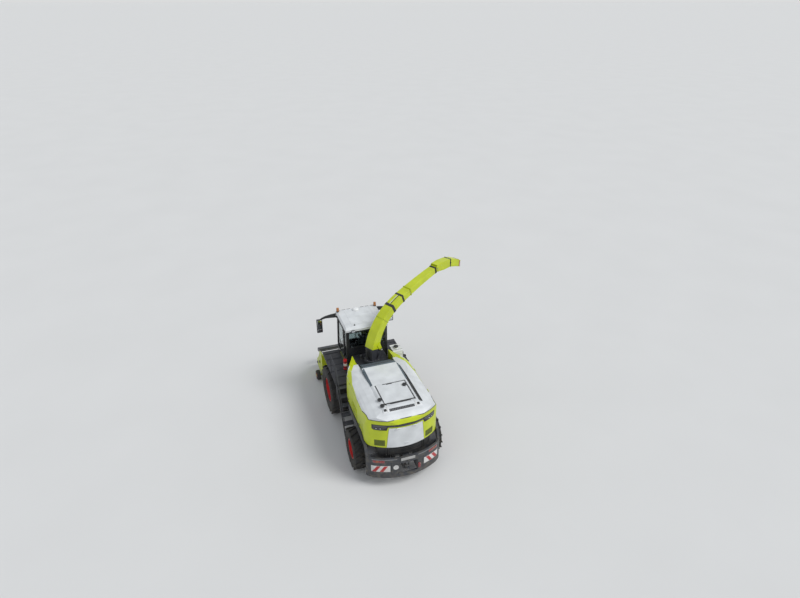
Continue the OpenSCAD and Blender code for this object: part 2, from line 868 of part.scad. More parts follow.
module rear_skirts() {
    color("#565b66") placed() {
        difference() {
            translate([0, 0, bumper_bottom_z])
                linear_extrude(bumper_top_z - bumper_bottom_z)
                skirt_plan(0);
            translate([0, 0, bumper_bottom_z - 10])
                linear_extrude(bumper_top_z - bumper_bottom_z + 20)
                intersection() {
                    skirt_plan(60);
                    translate([-5500, -1250]) square([845, 2500]);
                }
            // Hitch recess
            block(-5300, -4500, -recess_half_w, recess_half_w,
                620, 1090);
            block(-4720, -4500, -rail_y - 80, rail_y + 80, 400, 1400);
            // Seams between the middle and the two corners
            both_sides() block(-5300, -4500, recess_half_w,
                recess_half_w + seat_play, 400, 1400);
        }
        both_sides() {
            // Side skirt above the rear wheel, in two plates
            difference() {
                y_prism([[-2350, 1700], [-2350, shell_bottom_z - 10],
                    [-4000, shell_bottom_z - 10],
                    [-4500, tail_bottom_z - 10],
                    [-4640, bumper_top_z + seat_play],
                    [-4560, bumper_top_z + seat_play], [-4400, 1640]],
                    bumper_half_w - 90, bumper_half_w);
                block(-4400 - seat_play, -4400, 1000, 1600, 1300,
                    2200);
                y_prism([[-2400, 1000], [-2400, 1690], [-4400, 1690],
                    [-4400, 1000]], 1000, bumper_half_w - 40);
            }
            // Mudguard of three plates
            difference() {
                y_prism([[-2560, 1650], [-2560, 1690], [-4300, 1690],
                    [-4460, 1600], [-4600, bumper_top_z + seat_play],
                    [-4560, bumper_top_z + seat_play], [-4425, 1575],
                    [-4285, 1650]], 700,
                    bumper_half_w - 90 - seat_play);
                y_prism([[-4303.75, 1700], [-4281.25, 1640],
                    [-4281.25 - seat_play, 1640],
                    [-4303.75 - seat_play, 1700]], 600, 1500);
                y_prism([[-4467, 1605], [-4418, 1570],
                    [-4418 - seat_play, 1570],
                    [-4467 - seat_play, 1605]], 600, 1500);
            }
        }
    }
}

// Black grille under the tail panel and the lamp band above it
module tail_grille() {
    color("#1f2124") placed() {
        difference() {
            intersection() {
                difference() {
                    shell_body(panel_t + 10);
                    shell_body(panel_t + 60);
                }
                block(-5400, -4620, -1000, 1000,
                    bumper_top_z + 0.5, tail_bottom_z + 30);
            }
            for (i = [0 : 4])
                block(-5400, -4935 + 20, -640, 640,
                    bumper_top_z + 50 + i * 62,
                    bumper_top_z + 84 + i * 62);
        }
        intersection() {
            difference() {
                shell_body(6);
                shell_body(panel_t + 20);
            }
            lamp_window(0);
        }
        // Two pairs of posts between tail panel and bumper
        intersection() {
            difference() {
                shell_body(8);
                shell_body(panel_t + 20);
            }
            both_sides() for (y = [630, 700])
                block(-5400, -4700, y, y + 24, bumper_top_z + 0.5,
                    tail_bottom_z - 9);
        }
    }
}

// Lamps: tail lamps, rear work lamps, roof lamps and beacons
module lamps() {
    color("#d9dde0") placed() {
        both_sides() {
            translate([0, 0, 1170]) linear_extrude(120)
                intersection() {
                    difference() {
                        skirt_plan(-16);
                        skirt_plan(-seat_play);
                    }
                    translate([-5300, 820]) square([700, 410]);
                }
            for (y = [300, 520, 740])
                block(cab_front_x - 31.4,
                    cab_front_x + 50, y - 80, y + 80,
                    cab_wall_top_z + 10, cab_wall_top_z + 58);
            z_rod(1400, 820, 55, cab_wall_top_z + roof_t + 2,
                cab_wall_top_z + roof_t + 160);
        }
    }
}

// Cab
cab_side = [[cab_rear_x, cab_floor_z], [cab_front_x - 130,
    cab_floor_z], [cab_front_x, cab_floor_z + 270],
    [cab_front_x - 180, cab_wall_top_z],
    [cab_rear_x, cab_wall_top_z]];
cab_inner = [[cab_rear_x + cab_t, cab_floor_z + 60],
    [cab_front_x - 130 - cab_t, cab_floor_z + 60],
    [cab_front_x - cab_t - 8, cab_floor_z + 275],
    [cab_front_x - 180 - cab_t, cab_wall_top_z + 10],
    [cab_rear_x + cab_t, cab_wall_top_z + 10]];
sill_z = cab_floor_z + 330;
head_z = cab_wall_top_z - 70;

function screen_x(z) = cab_front_x
    - 180 * (z - cab_floor_z - 270)
    / (cab_wall_top_z - cab_floor_z - 270);

// Door outline in the side wall, smaller by a gap
function door_outline(gap) = [[door_rear_x + gap, floor_edge_z
    + gap], [cab_front_x - 150 - gap, floor_edge_z + gap],
    [screen_x(sill_z) - 75 - gap, sill_z],
    [screen_x(head_z) - 75 - gap, head_z + 20 - gap],
    [door_rear_x + gap, head_z + 20 - gap]];

function pane_outline(gap) = [[door_rear_x + 75 + gap,
    floor_edge_z + 80 + gap], [cab_front_x - 230 - gap,
    floor_edge_z + 80 + gap],
    [screen_x(sill_z) - 150 - gap, sill_z],
    [screen_x(head_z) - 150 - gap, head_z - 50 - gap],
    [door_rear_x + 75 + gap, head_z - 50 - gap]];

function quarter_outline(gap) = [[cab_rear_x + 90 + gap,
    sill_z + 100 + gap], [door_rear_x - 70 - gap,
    sill_z + 100 + gap], [door_rear_x - 70 - gap, head_z - gap],
    [cab_rear_x + 90 + gap, head_z - gap]];

module screen_cut(gap, half_w) {
    z0 = cab_floor_z + 320;
    z1 = head_z;
    x_prism([[-half_w + gap, z0 + gap], [half_w - gap, z0 + gap],
        [half_w - gap, z1 - gap], [-half_w + gap, z1 - gap]],
        cab_front_x - 400, cab_front_x + 100);
}

module rear_cut(gap) {
    block(cab_rear_x - 50, cab_rear_x + 100, -760 + gap, 760 - gap,
        3030 + gap, head_z - gap);
}

module cab_frame() {
    w = cab_half_w;
    color("#232528") placed() {
        difference() {
            y_prism(cab_side, -w, w);
            y_prism(cab_inner, -w + cab_t, w - cab_t);
            screen_cut(0, 770);
            rear_cut(0);
            y_prism(door_outline(0), w - cab_t - 10, w + 10);
            y_prism(pane_outline(0), -w - 10, -w + cab_t + 10);
            both_sides() y_prism(quarter_outline(0), w - cab_t - 10,
                w + 10);
        }
        // Mounts of the cab on the chassis
        both_sides() {
            block(-100, 20, rail_y - 50, rail_y + 50,
                rail_top + seat_play, cab_floor_z + 10);
            block(560, 680, rail_y - 50, rail_y + 50,
                rail_top + seat_play, cab_floor_z + 10);
        }
        door_hinges();
    }
}

hinge_x = door_rear_x - 6;
hinge_y = cab_half_w + 16;

// Fixed lugs and pins of the door's two hinges
module door_hinges() {
    for (z = [2450, 3350]) {
        for (s = [-1, 1])
            translate([0, 0, z + s * 55 - 14]) {
                block(hinge_x - 44, hinge_x - 4, cab_half_w - 5,
                    hinge_y + 4, 0, 28);
                z_rod(hinge_x, hinge_y, 14, 0, 28);
                block(hinge_x - 10, hinge_x, hinge_y - 14,
                    hinge_y + 14, 0, 28);
            }
        z_rod(hinge_x, hinge_y, 8, z - 50, z + 50);
    }
}

module cab_door() {
    w = cab_half_w;
    color("#232528") placed() {
        difference() {
            union() {
                y_prism(door_outline(panel_gap), w - cab_t, w);
                for (z = [2450, 3350]) {
                    z_rod(hinge_x, hinge_y, 14, z - 38, z + 38);
                    block(hinge_x, hinge_x + 60, w + 2, w + 26,
                        z - 38, z + 38);
                    block(door_rear_x + panel_gap, hinge_x + 60,
                        w - 1, w + 26, z - 38, z + 38);
                }
            }
            y_prism(pane_outline(0), w - cab_t - 10, w + 40);
            for (z = [2450, 3350])
                z_rod(hinge_x, hinge_y, 8 + pin_play, z - 60, z + 60);
        }
        // Handle
        block(1330, 1410, w - 1, w + 24, 2260, 2290);
    }
}

module door_glass() {
    w = cab_half_w;
    color("#7b8f92", 0.5) placed()
        y_prism(pane_outline(seat_play), w - cab_t / 2 - glass_t / 2,
            w - cab_t / 2 + glass_t / 2);
}

module cab_glass() {
    w = cab_half_w;
    c = cab_t / 2;
    tilt = atan2(180, cab_wall_top_z - cab_floor_z - 270);
    color("#7b8f92", 0.5) placed() {
        intersection() {
            screen_cut(seat_play, 770);
            y_prism([[screen_x(2000) - c - glass_t / 2, 2000],
                [screen_x(2000) - c + glass_t / 2, 2000],
                [screen_x(4000) - c + glass_t / 2, 4000],
                [screen_x(4000) - c - glass_t / 2, 4000]],
                -w, w);
        }
        intersection() {
            rear_cut(seat_play);
            block(cab_rear_x + c - glass_t / 2,
                cab_rear_x + c + glass_t / 2, -w, w, 2000, 4000);
        }
        y_prism(pane_outline(seat_play), -w + c - glass_t / 2,
            -w + c + glass_t / 2);
        both_sides() y_prism(quarter_outline(seat_play),
            w - c - glass_t / 2, w - c + glass_t / 2);
    }
}

module cab_roof() {
    z = cab_wall_top_z;
    color("#eceef0") placed() {
        intersection() {
            y_prism([[cab_rear_x - 25, z + 0.3],
                [cab_front_x - 30, z + 0.3], [cab_front_x - 40,
                z + 60], [cab_front_x - 110, z + roof_t],
                [cab_rear_x + 200, z + roof_t + 20],
                [cab_rear_x - 25, z + roof_t - 40]], -895, 895);
            x_prism([[-895, z], [895, z], [895, z + 70],
                [830, z + roof_t], [0, z + roof_t + 25],
                [-830, z + roof_t], [-895, z + 70]], -400, 1700);
        }
        translate([1300, 60, z + roof_t]) cylinder(r = 120, h = 60,
            $fn = 32);
    }
}

module cab_interior() {
    color("#2c2e31") placed() {
        // Seat
        block(350, 850, -250, 250, 2500, 2620);
        y_prism([[250, 2560], [360, 2560], [300, 3250], [190, 3250]],
            -240, 240);
        block(450, 750, -180, 180, cab_floor_z + 60, 2505);
        block(500, 1000, -420, -270, 2560, 2760);
        block(560, 620, -320, -240, 2300, 2600);
        // Steering column, wheel and pedal plate
        rod([1230, 0, cab_floor_z + 68], [1060, 0, 2780], 70);
        translate([1055, 0, 2790]) rotate([0, -20, 0])
            rotate_extrude($fn = 48) translate([190, 0])
            circle(r = 16, $fn = 16);
        translate([1055, 0, 2790]) rotate([0, -20, 0])
            block(-180, 180, -18, 18, -14, 8);
    }
}

module mirrors() {
    w = cab_half_w;
    color("#1f2124") placed() both_sides() {
        block(1340, 1400, w + seat_play, w + 40, 3660, 3740);
        rod([1380, w + 25, 3705], [1600, 1380, 3640], 50);
        rod([1600, 1370, 3640], [1610, 1560, 3560], 50);
        block(1580, 1660, 1480, 1720, 2930, 3560);
    }
}

// Left platform with the stair down between the wheels
module access_ladder() {
    z = platform_z;
    y = cab_half_w + 35;
    color("#3b3e45") placed() {
        both_sides() difference() {
            z_prism([[1250, y], [-880, y], [-1180, 1048],
                [-1290, 1100], [-1290, 1640], [1250, 1640]],
                z - 40, z);
            for (i = [0 : 4])
                block(-1080 + i * 450, -760 + i * 450, y + 75, 1580,
                    z - 16, z + 20);
        }
        // Carriers from the chassis
        both_sides() {
            block(-1290, -1190, rail_y, 1620, rail_top + seat_play,
                rail_top + 70);
            block(-1290, -1190, 1520, 1620, rail_top, z - 30);
            block(0, 80, cab_half_w + seat_play, y + 5, z - 60, z);
            block(1100, 1180, cab_half_w + seat_play, y + 5, z - 60,
                z);
        }
        // Stair, descending rearwards
        for (y = [1190, 1600])
            y_prism([[-1280, z], [-1400, z], [-2400, 420],
                [-2400, 380], [-2280, 380]], y, y + 30);
        for (i = [0 : 5])
            block(-2370 + i * 180, -2130 + i * 180, 1200, 1610,
                480 + i * 310, 510 + i * 310);
        // Handrails
        bent_rail([[-1330, 1615, z - 20], [-1330, 1615, 3000],
            [-2270, 1615, 1400], [-2270, 1615, 600]], 34);
        bent_rail([[-1320, 1150, z - 5], [-1320, 1150, 2900],
            [-1150, 1080, 2900], [-1150, 1080, z - 5]], 34);
        bent_rail([[-1150, 1615, z - 5], [-1150, 1615, 3000],
            [-350, 1615, 3000], [-350, 1615, z - 5]], 34);
    }
}

// Round rail through a list of points
module bent_rail(points, d) {
    for (i = [0 : len(points) - 2]) rod(points[i], points[i + 1], d);
    for (i = [1 : len(points) - 2]) translate(points[i])
        sphere(d = d + 1, $fn = 24);
}

module extinguisher() {
    color("#c8202a") placed() {
        z_rod(-300, 1000, 75, platform_z + seat_play, 2600);
        z_rod(-300, 1000, 30, 2600, 2660);
        block(-340, -240, 985, 1015, 2660, 2690);
    }
}

module additive_tank() {
    color("#e6e3d8") placed() {
        block(-800, -260, -1340, -930, platform_z + seat_play, 2860);
        z_rod(-530, -1130, 90, 2860, 2920);
    }
}

// Cutterhead housing under the cab and the duct up to the spout
module crop_duct() {
    h = chute_half_w;
    color("#3a3d42") placed() {
        y_prism([[420, 720], [530, 800], [530, 1560], [320, 1700],
            [260, 1700], [260, 1160], [260, 725]], -h - 30, h + 30);
        y_prism([[270, 1200], [270, 1700], [-260, 1700],
            [-420, 1500], [-420, 1200]], -h - 30, h + 30);
        difference() {
            y_prism([[-250, 1400], [-250, 1700], [-620, 2450],
                [-620, 2600], [-1080, 2600], [-1080, 2450],
                [-640, 1400]], -230, 230);
            y_prism([[-270, 1430], [-290, 1690], [-650, 2430],
                [-650, 2700], [-1050, 2700], [-1050, 2460],
                [-620, 1430]], -205, 205);
        }
        difference() {
            z_rod(turret_x, 0, turret_r + 60, 2580, turret_z);
            z_rod(turret_x, 0, turret_r - 35, 2500, turret_z + 20);
            block(turret_x - 400, turret_x + 400, -400, 400, 2500,
                2590);
        }
    }
}

// Spout: everything below is drawn along +X and turned to its bearing
module spout_frame() {
    translate([turret_x, 0, 0]) rotate([0, 0, spout_yaw]) children();
}

module spout_turret() {
    px = boom_pivot[0];
    pz = boom_pivot[1];
    ax = spout_lift_a[0];
    az = spout_lift_a[1];
    z = turret_z + 60;
    color("#c3d600") placed() spout_frame() difference() {
        union() {
            difference() {
                union() {
                    z_rod(0, 0, turret_r + 60, turret_z + pin_play, z);
                    y_prism([[-180, z - 10], [-180, 3250],
                        [-150, 3360], [-110, 3430], [180, 3430],
                        [180, z - 10]], -185, 185);
                }
                y_prism([[-168, z - 1], [-168, 3250], [-138, 3356],
                    [-100, 3440], [168, 3440], [168, z - 1]],
                    -173, 173);
                z_rod(0, 0, turret_r - 35, turret_z - 5, z);
            }
            // Ears of the boom's pivot
            both_sides() {
                y_prism([[20, z - 10], [px - 60, pz + 20],
                    [px + 60, pz + 20], [290, z - 10]], 238, 256);
                y_rod(px, pz, 62, 238, 256);
                y_rod(px, pz, 24, 192, 256);
                block(20, 240, 175, 256, z - 30, z);
            }
            // Fork of the lift cylinder
            both_sides() y_prism([[ax - 60, z - 10], [ax - 36,
                az + 34], [ax + 36, az + 34], [ax + 60, z - 10]],
                26, 44);
            y_rod(ax, az, 16, -44, 44);
        }
    }
}

// Centre line of the boom: distance, height and depth of its sections
boom_marks = [[20, 3300, 400], [150, 3700, 370],
    [420, 4150, 350], [850, 4560, 345], [1450, 4870, 325],
    [2200, 5110, 295], [3000, 5320, 270], [3950, 5530, 250]];

// A smooth curve through the marks, in three steps between each two
function smooth(a, b, c, d, t) = (b * 2 + (c - a) * t
    + (a * 2 - b * 5 + c * 4 - d) * t * t
    + (b * 3 - a - c * 3 + d) * t * t * t) / 2;

boom_stations = let(m = boom_marks, n = len(m)) concat(
    [for (i = [0 : n - 2]) for (k = [0 : 2])
        smooth(m[max(i - 1, 0)], m[i], m[i + 1],
            m[min(i + 2, n - 1)], k / 3)], [m[n - 1]]);

function boom_tangent(i) = let(n = len(boom_stations),
    a = boom_stations[max(i - 1, 0)], b = boom_stations[min(i + 1,
    n - 1)], v = [b[0] - a[0], b[1] - a[1]]) v / norm(v);

function boom_edge(side, inset) = [for (i = [0 :
    len(boom_stations) - 1]) let(s = boom_stations[i],
    t = boom_tangent(i), k = side * (s[2] / 2 - inset),
    e = inset == 0 ? 0 : i == 0 ? -30
        : i == len(boom_stations) - 1 ? 30 : 0)
    [s[0] - t[1] * k + t[0] * e, s[1] + t[0] * k + t[1] * e]];

function flip(list) = [for (i = [len(list) - 1 : -1 : 0]) list[i]];

module boom_profile(inset) {
    y_prism(concat(boom_edge(1, inset), flip(boom_edge(-1, inset))),
        -400, 400);
}

module boom_plan(inset) {
    x1 = inset == 0 ? 3950 : 4050;
    z_prism([[-300, -spout_foot_w / 2 + inset],
        [x1, -spout_end_w / 2 + inset],
        [x1, spout_end_w / 2 - inset],
        [-300, spout_foot_w / 2 - inset]], 2000, 7000);
}

module spout_boom() {
    px = boom_pivot[0];
    pz = boom_pivot[1];
    bx = spout_lift_b[0];
    bz = spout_lift_b[1];
    color("#c3d600") placed() spout_frame() difference() {
        union() {
            difference() {
                intersection() {
                    boom_profile(0);
                    boom_plan(0);
                }
                intersection() {
                    boom_profile(spout_t);
                    boom_plan(spout_t);
                }
            }
            both_sides() {
                y_prism([[px - 58, pz], [90, 3420], [230, 3560],
                    [px + 58, pz]], 200, 232);
                y_rod(px, pz, 60, 200, 232);
                // Lugs of the lift cylinder and pins of the flap
                y_prism([[bx - 40, bz - 34], [bx + 40, bz - 34],
                    [bx + 90, 4080], [bx - 40, 3874]], 36, 54);
                y_rod(flap_pivot[0], flap_pivot[1], 12,
                    spout_end_w / 2 - 8, spout_end_w / 2 + 26);
            }
            y_rod(bx, bz, 16, -54, 54);
        }
        y_rod(px, pz, 24 + pin_play, -300, 300);
    }
}

module spout_flap() {
    w = spout_end_w / 2 + 10;
    top = [[3815, 5700], [4150, 5738], [4600, 5712], [5000, 5620],
        [5300, 5490], [spout_reach, 5380]];
    color("#c3d600") placed() spout_frame() difference() {
        union() {
            // Arched roof plate of the flap and its two cheeks
            y_prism(concat(top, [[spout_reach - 7, 5370],
                [5295, 5478], [4996, 5608], [4598, 5700],
                [4150, 5726], [3815, 5688]]), -w - 8, w + 8);
            both_sides() y_prism(concat([[3770, 5490],
                [3770, 5640]], top, [[spout_reach - 30, 5105],
                [5100, 5230], [4700, 5340], [4300, 5335],
                [3960, 5380]]), w, w + 8);
        }
        y_rod(flap_pivot[0], flap_pivot[1], 12 + pin_play, -300,
            300);
    }
}

module spout_barrel() {
    a = [spout_lift_a[0], 0, spout_lift_a[1]];
    b = [spout_lift_b[0], 0, spout_lift_b[1]];
    u = (b - a) / norm(b - a);
    color("#2b2d30") placed() spout_frame() difference() {
        union() {
            y_rod(a[0], a[2], 32, -22, 22);
            rod(a + u * 20, a + u * 60, 40);
            rod(a + u * 55, a + u * 560, 76);
        }
        y_rod(a[0], a[2], 16 + pin_play, -60, 60);
        rod(a + u * 120, a + u * 570, 42);
    }
}

module spout_rod() {
    a = [spout_lift_a[0], 0, spout_lift_a[1]];
    b = [spout_lift_b[0], 0, spout_lift_b[1]];
    u = (b - a) / norm(b - a);
    color("#c9ccd0") placed() spout_frame() difference() {
        union() {
            rod(a + u * 330, b - u * 30, 40);
            y_rod(b[0], b[2], 44, -26, 26);
        }
        y_rod(b[0], b[2], 16 + spout_eye_play, -60, 60);
    }
}

// Side flaps, tail panel and top hatch
module side_flap() {
    intersection() {
        shell();
        block(flap_rear_x + panel_gap / 2,
            flap_front_x - panel_gap / 2, 0, 2000, shell_bottom_z,
            shell_split_z - 20);
    }
    for (x = [-2200, -3600])
        x_hinge_moving(flap_hinge[0], flap_hinge[1], x,
            flap_hinge[0] - 26, flap_hinge[1] - 40);
}

module side_flap_left() {
    color("#c3d600") placed() side_flap();
}

module side_flap_right() {
    color("#c3d600") placed() mirror([0, 1, 0]) side_flap();
}

module tail_panel() {
    color("#eceef0") placed() {
        intersection() {
            shell();
            x_prism([[-tail_half_bottom, tail_bottom_z],
                [-tail_half_top, tail_top_z],
                [tail_half_top, tail_top_z],
                [tail_half_bottom, tail_bottom_z]], -5400, -4700);
        }
        for (y = [-300, 300])
            y_hinge_moving(tail_hinge[0], tail_hinge[1], y,
                tail_hinge[0] + 40, tail_top_z - 25);
    }
}

module top_hatch() {
    color("#eceef0") placed() {
        block(hatch_rear_x + panel_gap, hatch_front_x - panel_gap,
            -hatch_half_w + panel_gap, hatch_half_w - panel_gap,
            hood_z - hatch_t, hood_z);
        for (y = [-450, 450])
            y_hinge_moving(hatch_hinge[0], hatch_hinge[1], y,
                hatch_hinge[0] + 60, hood_z - 5);
    }
}

// Header and feeder
module feeder_housing() {
    h = chute_half_w;
    x = lift_pivot_x;
    color("#3a3d42") placed() {
        difference() {
            y_prism([[x, lift_pivot_z + 230], [x, 820], [900, 700],
                [2049.7, 560], [2049.7, 1180], [1000, 1480]],
                -h, h);
            y_prism([[x - 40, lift_pivot_z + 190], [x - 40, 860],
                [910, 740], [2100, 600], [2100, 1140], [1000, 1440]],
                -h + 25, h - 25);
        }
        both_sides() {
            y_rod(x, lift_pivot_z, 40, h - 10, 484);
            // Pins for the lift cylinders' eyes
            y_rod(lift_b[0], lift_b[1], 25, h - 10, lift_y + 34);
            y_rod(lift_b[0], lift_b[1], 45, h - 10, lift_y - 34);
            y_rod(lift_b[0], lift_b[1], 45, lift_y + 32,
                lift_y + 46);
        }
    }
}

module header_frame() {
    w = header_half_w;
    color("#c3d600") placed() {
        both_sides() difference() {
            union() {
                y_prism([[2050, 560], [2050, 1450], [2250, 1500],
                    [2550, 1360], [2600, 1220], [2950, 800],
                    [3300, 520],
                    [3300, 230], [2700, 140], [2250, 150]], w,
                    w + 40);
                // Axle stub of the gauge wheel
                y_rod(gauge_x, gauge_d / 2, 20 - pin_play, w + 30,
                    gauge_y + 86);
                y_rod(gauge_x, gauge_d / 2, 34, gauge_y + 85.5,
                    gauge_y + 98);
                y_rod(gauge_x, gauge_d / 2, 45, w + 35,
                    gauge_y - 85.5);
            }
            y_rod(auger_x, auger_z, 30 + pin_play, w - 5, w + 45);
            y_rod(reel_x, reel_z, 30 + pin_play, w - 5, w + 45);
            y_rod(press_pivot[0], press_pivot[1], 20 + pin_play,
                w - 5, w + 45);
        }
        header_trough();
        stripper_bands();
    }
}

// Back wall with the throat, cross tubes and the auger's trough
module header_trough() {
    w = header_half_w;
    r = auger_r + 25;
    difference() {
        union() {
            block(2050, 2100, -w - 5, w + 5, 420, 1300);
            block(2050, 2190, -w - 5, w + 5, 1290, 1420);
            difference() {
                y_rod(auger_x, auger_z, r + 10, -w - 5, w + 5);
                y_rod(auger_x, auger_z, r, -w - 10, w + 10);
                block(auger_x - 500, auger_x + 500, -w - 20, w + 20,
                    auger_z - 170, auger_z + 500);
            }
            block(2090, auger_x - 270, -w - 5, w + 5, 560, 580);
            // Sheet between auger and pick-up, and the lower beam
            y_prism([[2740, 422], [2751, 416], [2881, 606],
                [2870, 613]], -w - 5, w + 5);
            block(2790, 2868, -w - 5, w + 5, 130, 190);
        }
        block(2000, 2250, -chute_half_w + 25, chute_half_w - 25,
            600, 1140);
    }
}

module stripper_bands() {
    w = header_half_w;
    n = floor((2 * w - 120) / tine_pitch);
    for (i = [0 : n - 1]) {
        y = -n * tine_pitch / 2 + i * tine_pitch + 30;
        translate([reel_x, y, reel_z]) rotate([-90, 0, 0])
            linear_extrude(tine_pitch - 60) difference() {
                union() {
                    circle(r = reel_band_r, $fn = 48);
                    translate([-285, -reel_band_r])
                        square([285, 2 * reel_band_r]);
                }
                circle(r = reel_band_r - 5, $fn = 48);
                translate([-290, -reel_band_r + 5])
                    square([290, 2 * reel_band_r - 10]);
            }
    }
}

module header_auger() {
    w = header_half_w;
    color("#8a8f94") placed() {
        y_rod(auger_x, auger_z, auger_tube_r, -w + 15, w - 15);
        y_rod(auger_x, auger_z, 30, -w - 40, w + 40);
        // Feeding paddles in front of the throat
        for (a = [0, 120, 240]) translate([auger_x, 0, auger_z])
            rotate([0, a, 0])
                block(auger_tube_r - 10, auger_r - 20, -280, 280,
                    -8, 8);
        // Flights, right and left handed
        both_sides() translate([auger_x, w - 20, auger_z])
            rotate([90, 0, 0])
                linear_extrude(w - 330, twist = 900, slices = 60)
                    translate([0, -14]) square([auger_r, 28]);
    }
}

module pickup_reel() {
    w = header_half_w;
    n = floor((2 * w - 120) / tine_pitch);
    color("#5b5f64") placed() translate([reel_x, 0, reel_z]) {
        y_rod(0, 0, 70, -w + 12, w - 12);
        y_rod(0, 0, 30, -w - 40, w + 40);
        for (y = [-w + 14, -10, w - 34])
            y_rod(0, 0, 205, y, y + 20);
        for (k = [0 : reel_rows - 1])
            rotate([0, k * 360 / reel_rows, 0]) {
                y_rod(185, 0, 18, -w + 12, w - 12);
                for (i = [0 : n])
                    translate([185, -n * tine_pitch / 2
                        + i * tine_pitch - 6, -6])
                        cube([reel_tip_r - 185, 12, 12]);
            }
    }
}

module press_roller() {
    w = header_half_w;
    x = press_pivot[0];
    z = press_pivot[1];
    color("#3a3d42") placed() {
        y_rod(3420, 900, 95, -w + 60, w - 60);
        both_sides() {
            y_rod(x, z, 20, w - 40, w + 44);
            y_rod(x, z, 45, w - 42, w - 8);
            y_prism([[x - 30, z - 35], [x + 30, z + 40], [3450, 950],
                [3420, 860], [3380, 860]], w - 66, w - 40);
        }
        y_rod(2900, 1120, 28, -w + 50, w - 50);
    }
}

module lift_barrels() {
    a = [lift_a[0], lift_y, lift_a[1]];
    b = [lift_b[0], lift_y, lift_b[1]];
    u = (b - a) / norm(b - a);
    color("#2b2d30") placed() both_sides() {
        y_rod(a[0], a[2], 42, lift_y - 20, lift_y + 20);
        y_rod(a[0], a[2], 25, lift_y - 42, lift_y + 42);
        difference() {
            union() {
                rod(a + u * 33, a + u * 90, 35);
                rod(a + u * 80, a + u * 680, 84);
            }
            rod(a + u * 160, a + u * 690, 48);
        }
    }
}

module lift_rods() {
    a = [lift_a[0], lift_y, lift_a[1]];
    b = [lift_b[0], lift_y, lift_b[1]];
    u = (b - a) / norm(b - a);
    color("#c9ccd0") placed() both_sides() difference() {
        union() {
            rod(a + u * 420, b - u * 30, 46);
            y_rod(b[0], b[2], 50, lift_y - 24, lift_y + 24);
        }
        y_rod(b[0], b[2], 25 + eye_play, lift_y - 60, lift_y + 60);
    }
}

module gauge_wheel(side) {
    translate([gauge_x, side * gauge_y, gauge_d / 2])
        rotate([-90, 0, 0]) rotate_extrude($fn = 48)
        polygon([[20, -70], [110, -70], [140, -85], [gauge_d / 2 - 25,
            -85], [gauge_d / 2, -55], [gauge_d / 2, 55],
            [gauge_d / 2 - 25, 85], [140, 85], [110, 70], [20, 70]]);
}

module gauge_wheel_left() {
    color("#1c1c1e") placed() gauge_wheel(1);
}

module gauge_wheel_right() {
    color("#1c1c1e") placed() gauge_wheel(-1);
}

chassis_frame();
body_frame();
hitch();
axles();
engine_block();
lime_panels();
top_cover();
intake_grille();
service_deck();
rear_skirts();
tail_grille();
lamps();
cab_frame();
cab_roof();
cab_glass();
cab_interior();
mirrors();
access_ladder();
extinguisher();
additive_tank();
crop_duct();
spout_turret();
spout_boom();
spout_flap();
spout_barrel();
spout_rod();
tyre_front_left();
tyre_front_right();
tyre_rear_left();
tyre_rear_right();
rim_front_left();
rim_front_right();
rim_rear_left();
rim_rear_right();
knuckle_left();
knuckle_right();
cab_door();
door_glass();
side_flap_left();
side_flap_right();
tail_panel();
top_hatch();
feeder_housing();
header_frame();
header_auger();
pickup_reel();
press_roller();
lift_barrels();
lift_rods();
gauge_wheel_left();
gauge_wheel_right();
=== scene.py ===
"""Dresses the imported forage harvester: finishes, fittings, light and camera.

Everything is in metres. The classes give their places in the machine's own
frame, whose x is zero at the driven axle, and MACHINE carries them into the
row frame.
"""

import logging
import math
from dataclasses import dataclass, field
from enum import Enum
from typing import Callable, Iterable, Optional, Sequence

import bmesh
import bpy
from mathutils import Matrix, Vector
from mathutils.bvhtree import BVHTree


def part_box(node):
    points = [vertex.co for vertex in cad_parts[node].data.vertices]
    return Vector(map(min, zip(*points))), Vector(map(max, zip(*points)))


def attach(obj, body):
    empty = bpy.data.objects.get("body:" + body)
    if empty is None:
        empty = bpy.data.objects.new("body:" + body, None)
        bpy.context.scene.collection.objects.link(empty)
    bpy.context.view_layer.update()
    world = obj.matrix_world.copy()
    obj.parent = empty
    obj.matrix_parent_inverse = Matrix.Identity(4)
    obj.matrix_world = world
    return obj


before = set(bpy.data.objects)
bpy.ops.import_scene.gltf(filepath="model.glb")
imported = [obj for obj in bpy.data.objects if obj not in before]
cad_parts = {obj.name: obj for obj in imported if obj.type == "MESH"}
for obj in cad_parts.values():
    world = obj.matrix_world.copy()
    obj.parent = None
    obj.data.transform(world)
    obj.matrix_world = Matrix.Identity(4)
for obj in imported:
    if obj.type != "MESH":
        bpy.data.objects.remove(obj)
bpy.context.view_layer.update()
LOG = logging.getLogger("harvester")

Point = Sequence[float]
Pair = tuple[float, float]
Colour = tuple[float, float, float]
Hit = tuple[Vector, Vector]
Spot = Callable[[float, float], Hit]

UP = (0, 0, 1)
DOWN = (0, 0, -1)
ACROSS = (0, 1, 0)
FORWARD = (1, 0, 0)
BACKWARD = (-1, 0, 0)


def machine_origin() -> Vector:
    """Returns the row-frame place of the machine's own zero."""
    left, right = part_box("tyre_front_left"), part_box("tyre_front_right")
    x = (left[0][0] + left[1][0]) / 2
    return Vector((x, (left[0][1] + left[1][1] + right[0][1] + right[1][1]) / 4, 0.0))


MACHINE = machine_origin()


def at(x: float, y: float, z: float) -> Vector:
    """Returns the row-frame point of a place in the machine's frame."""
    return MACHINE + Vector((x, y, z))


class Side(Enum):
    """The machine's two sides."""

    LEFT = 1
    RIGHT = -1

    @property
    def word(self) -> str:
        """Returns the side's word, as used in names."""
        return self.name.lower()


SIGNS = tuple(side.value for side in Side)


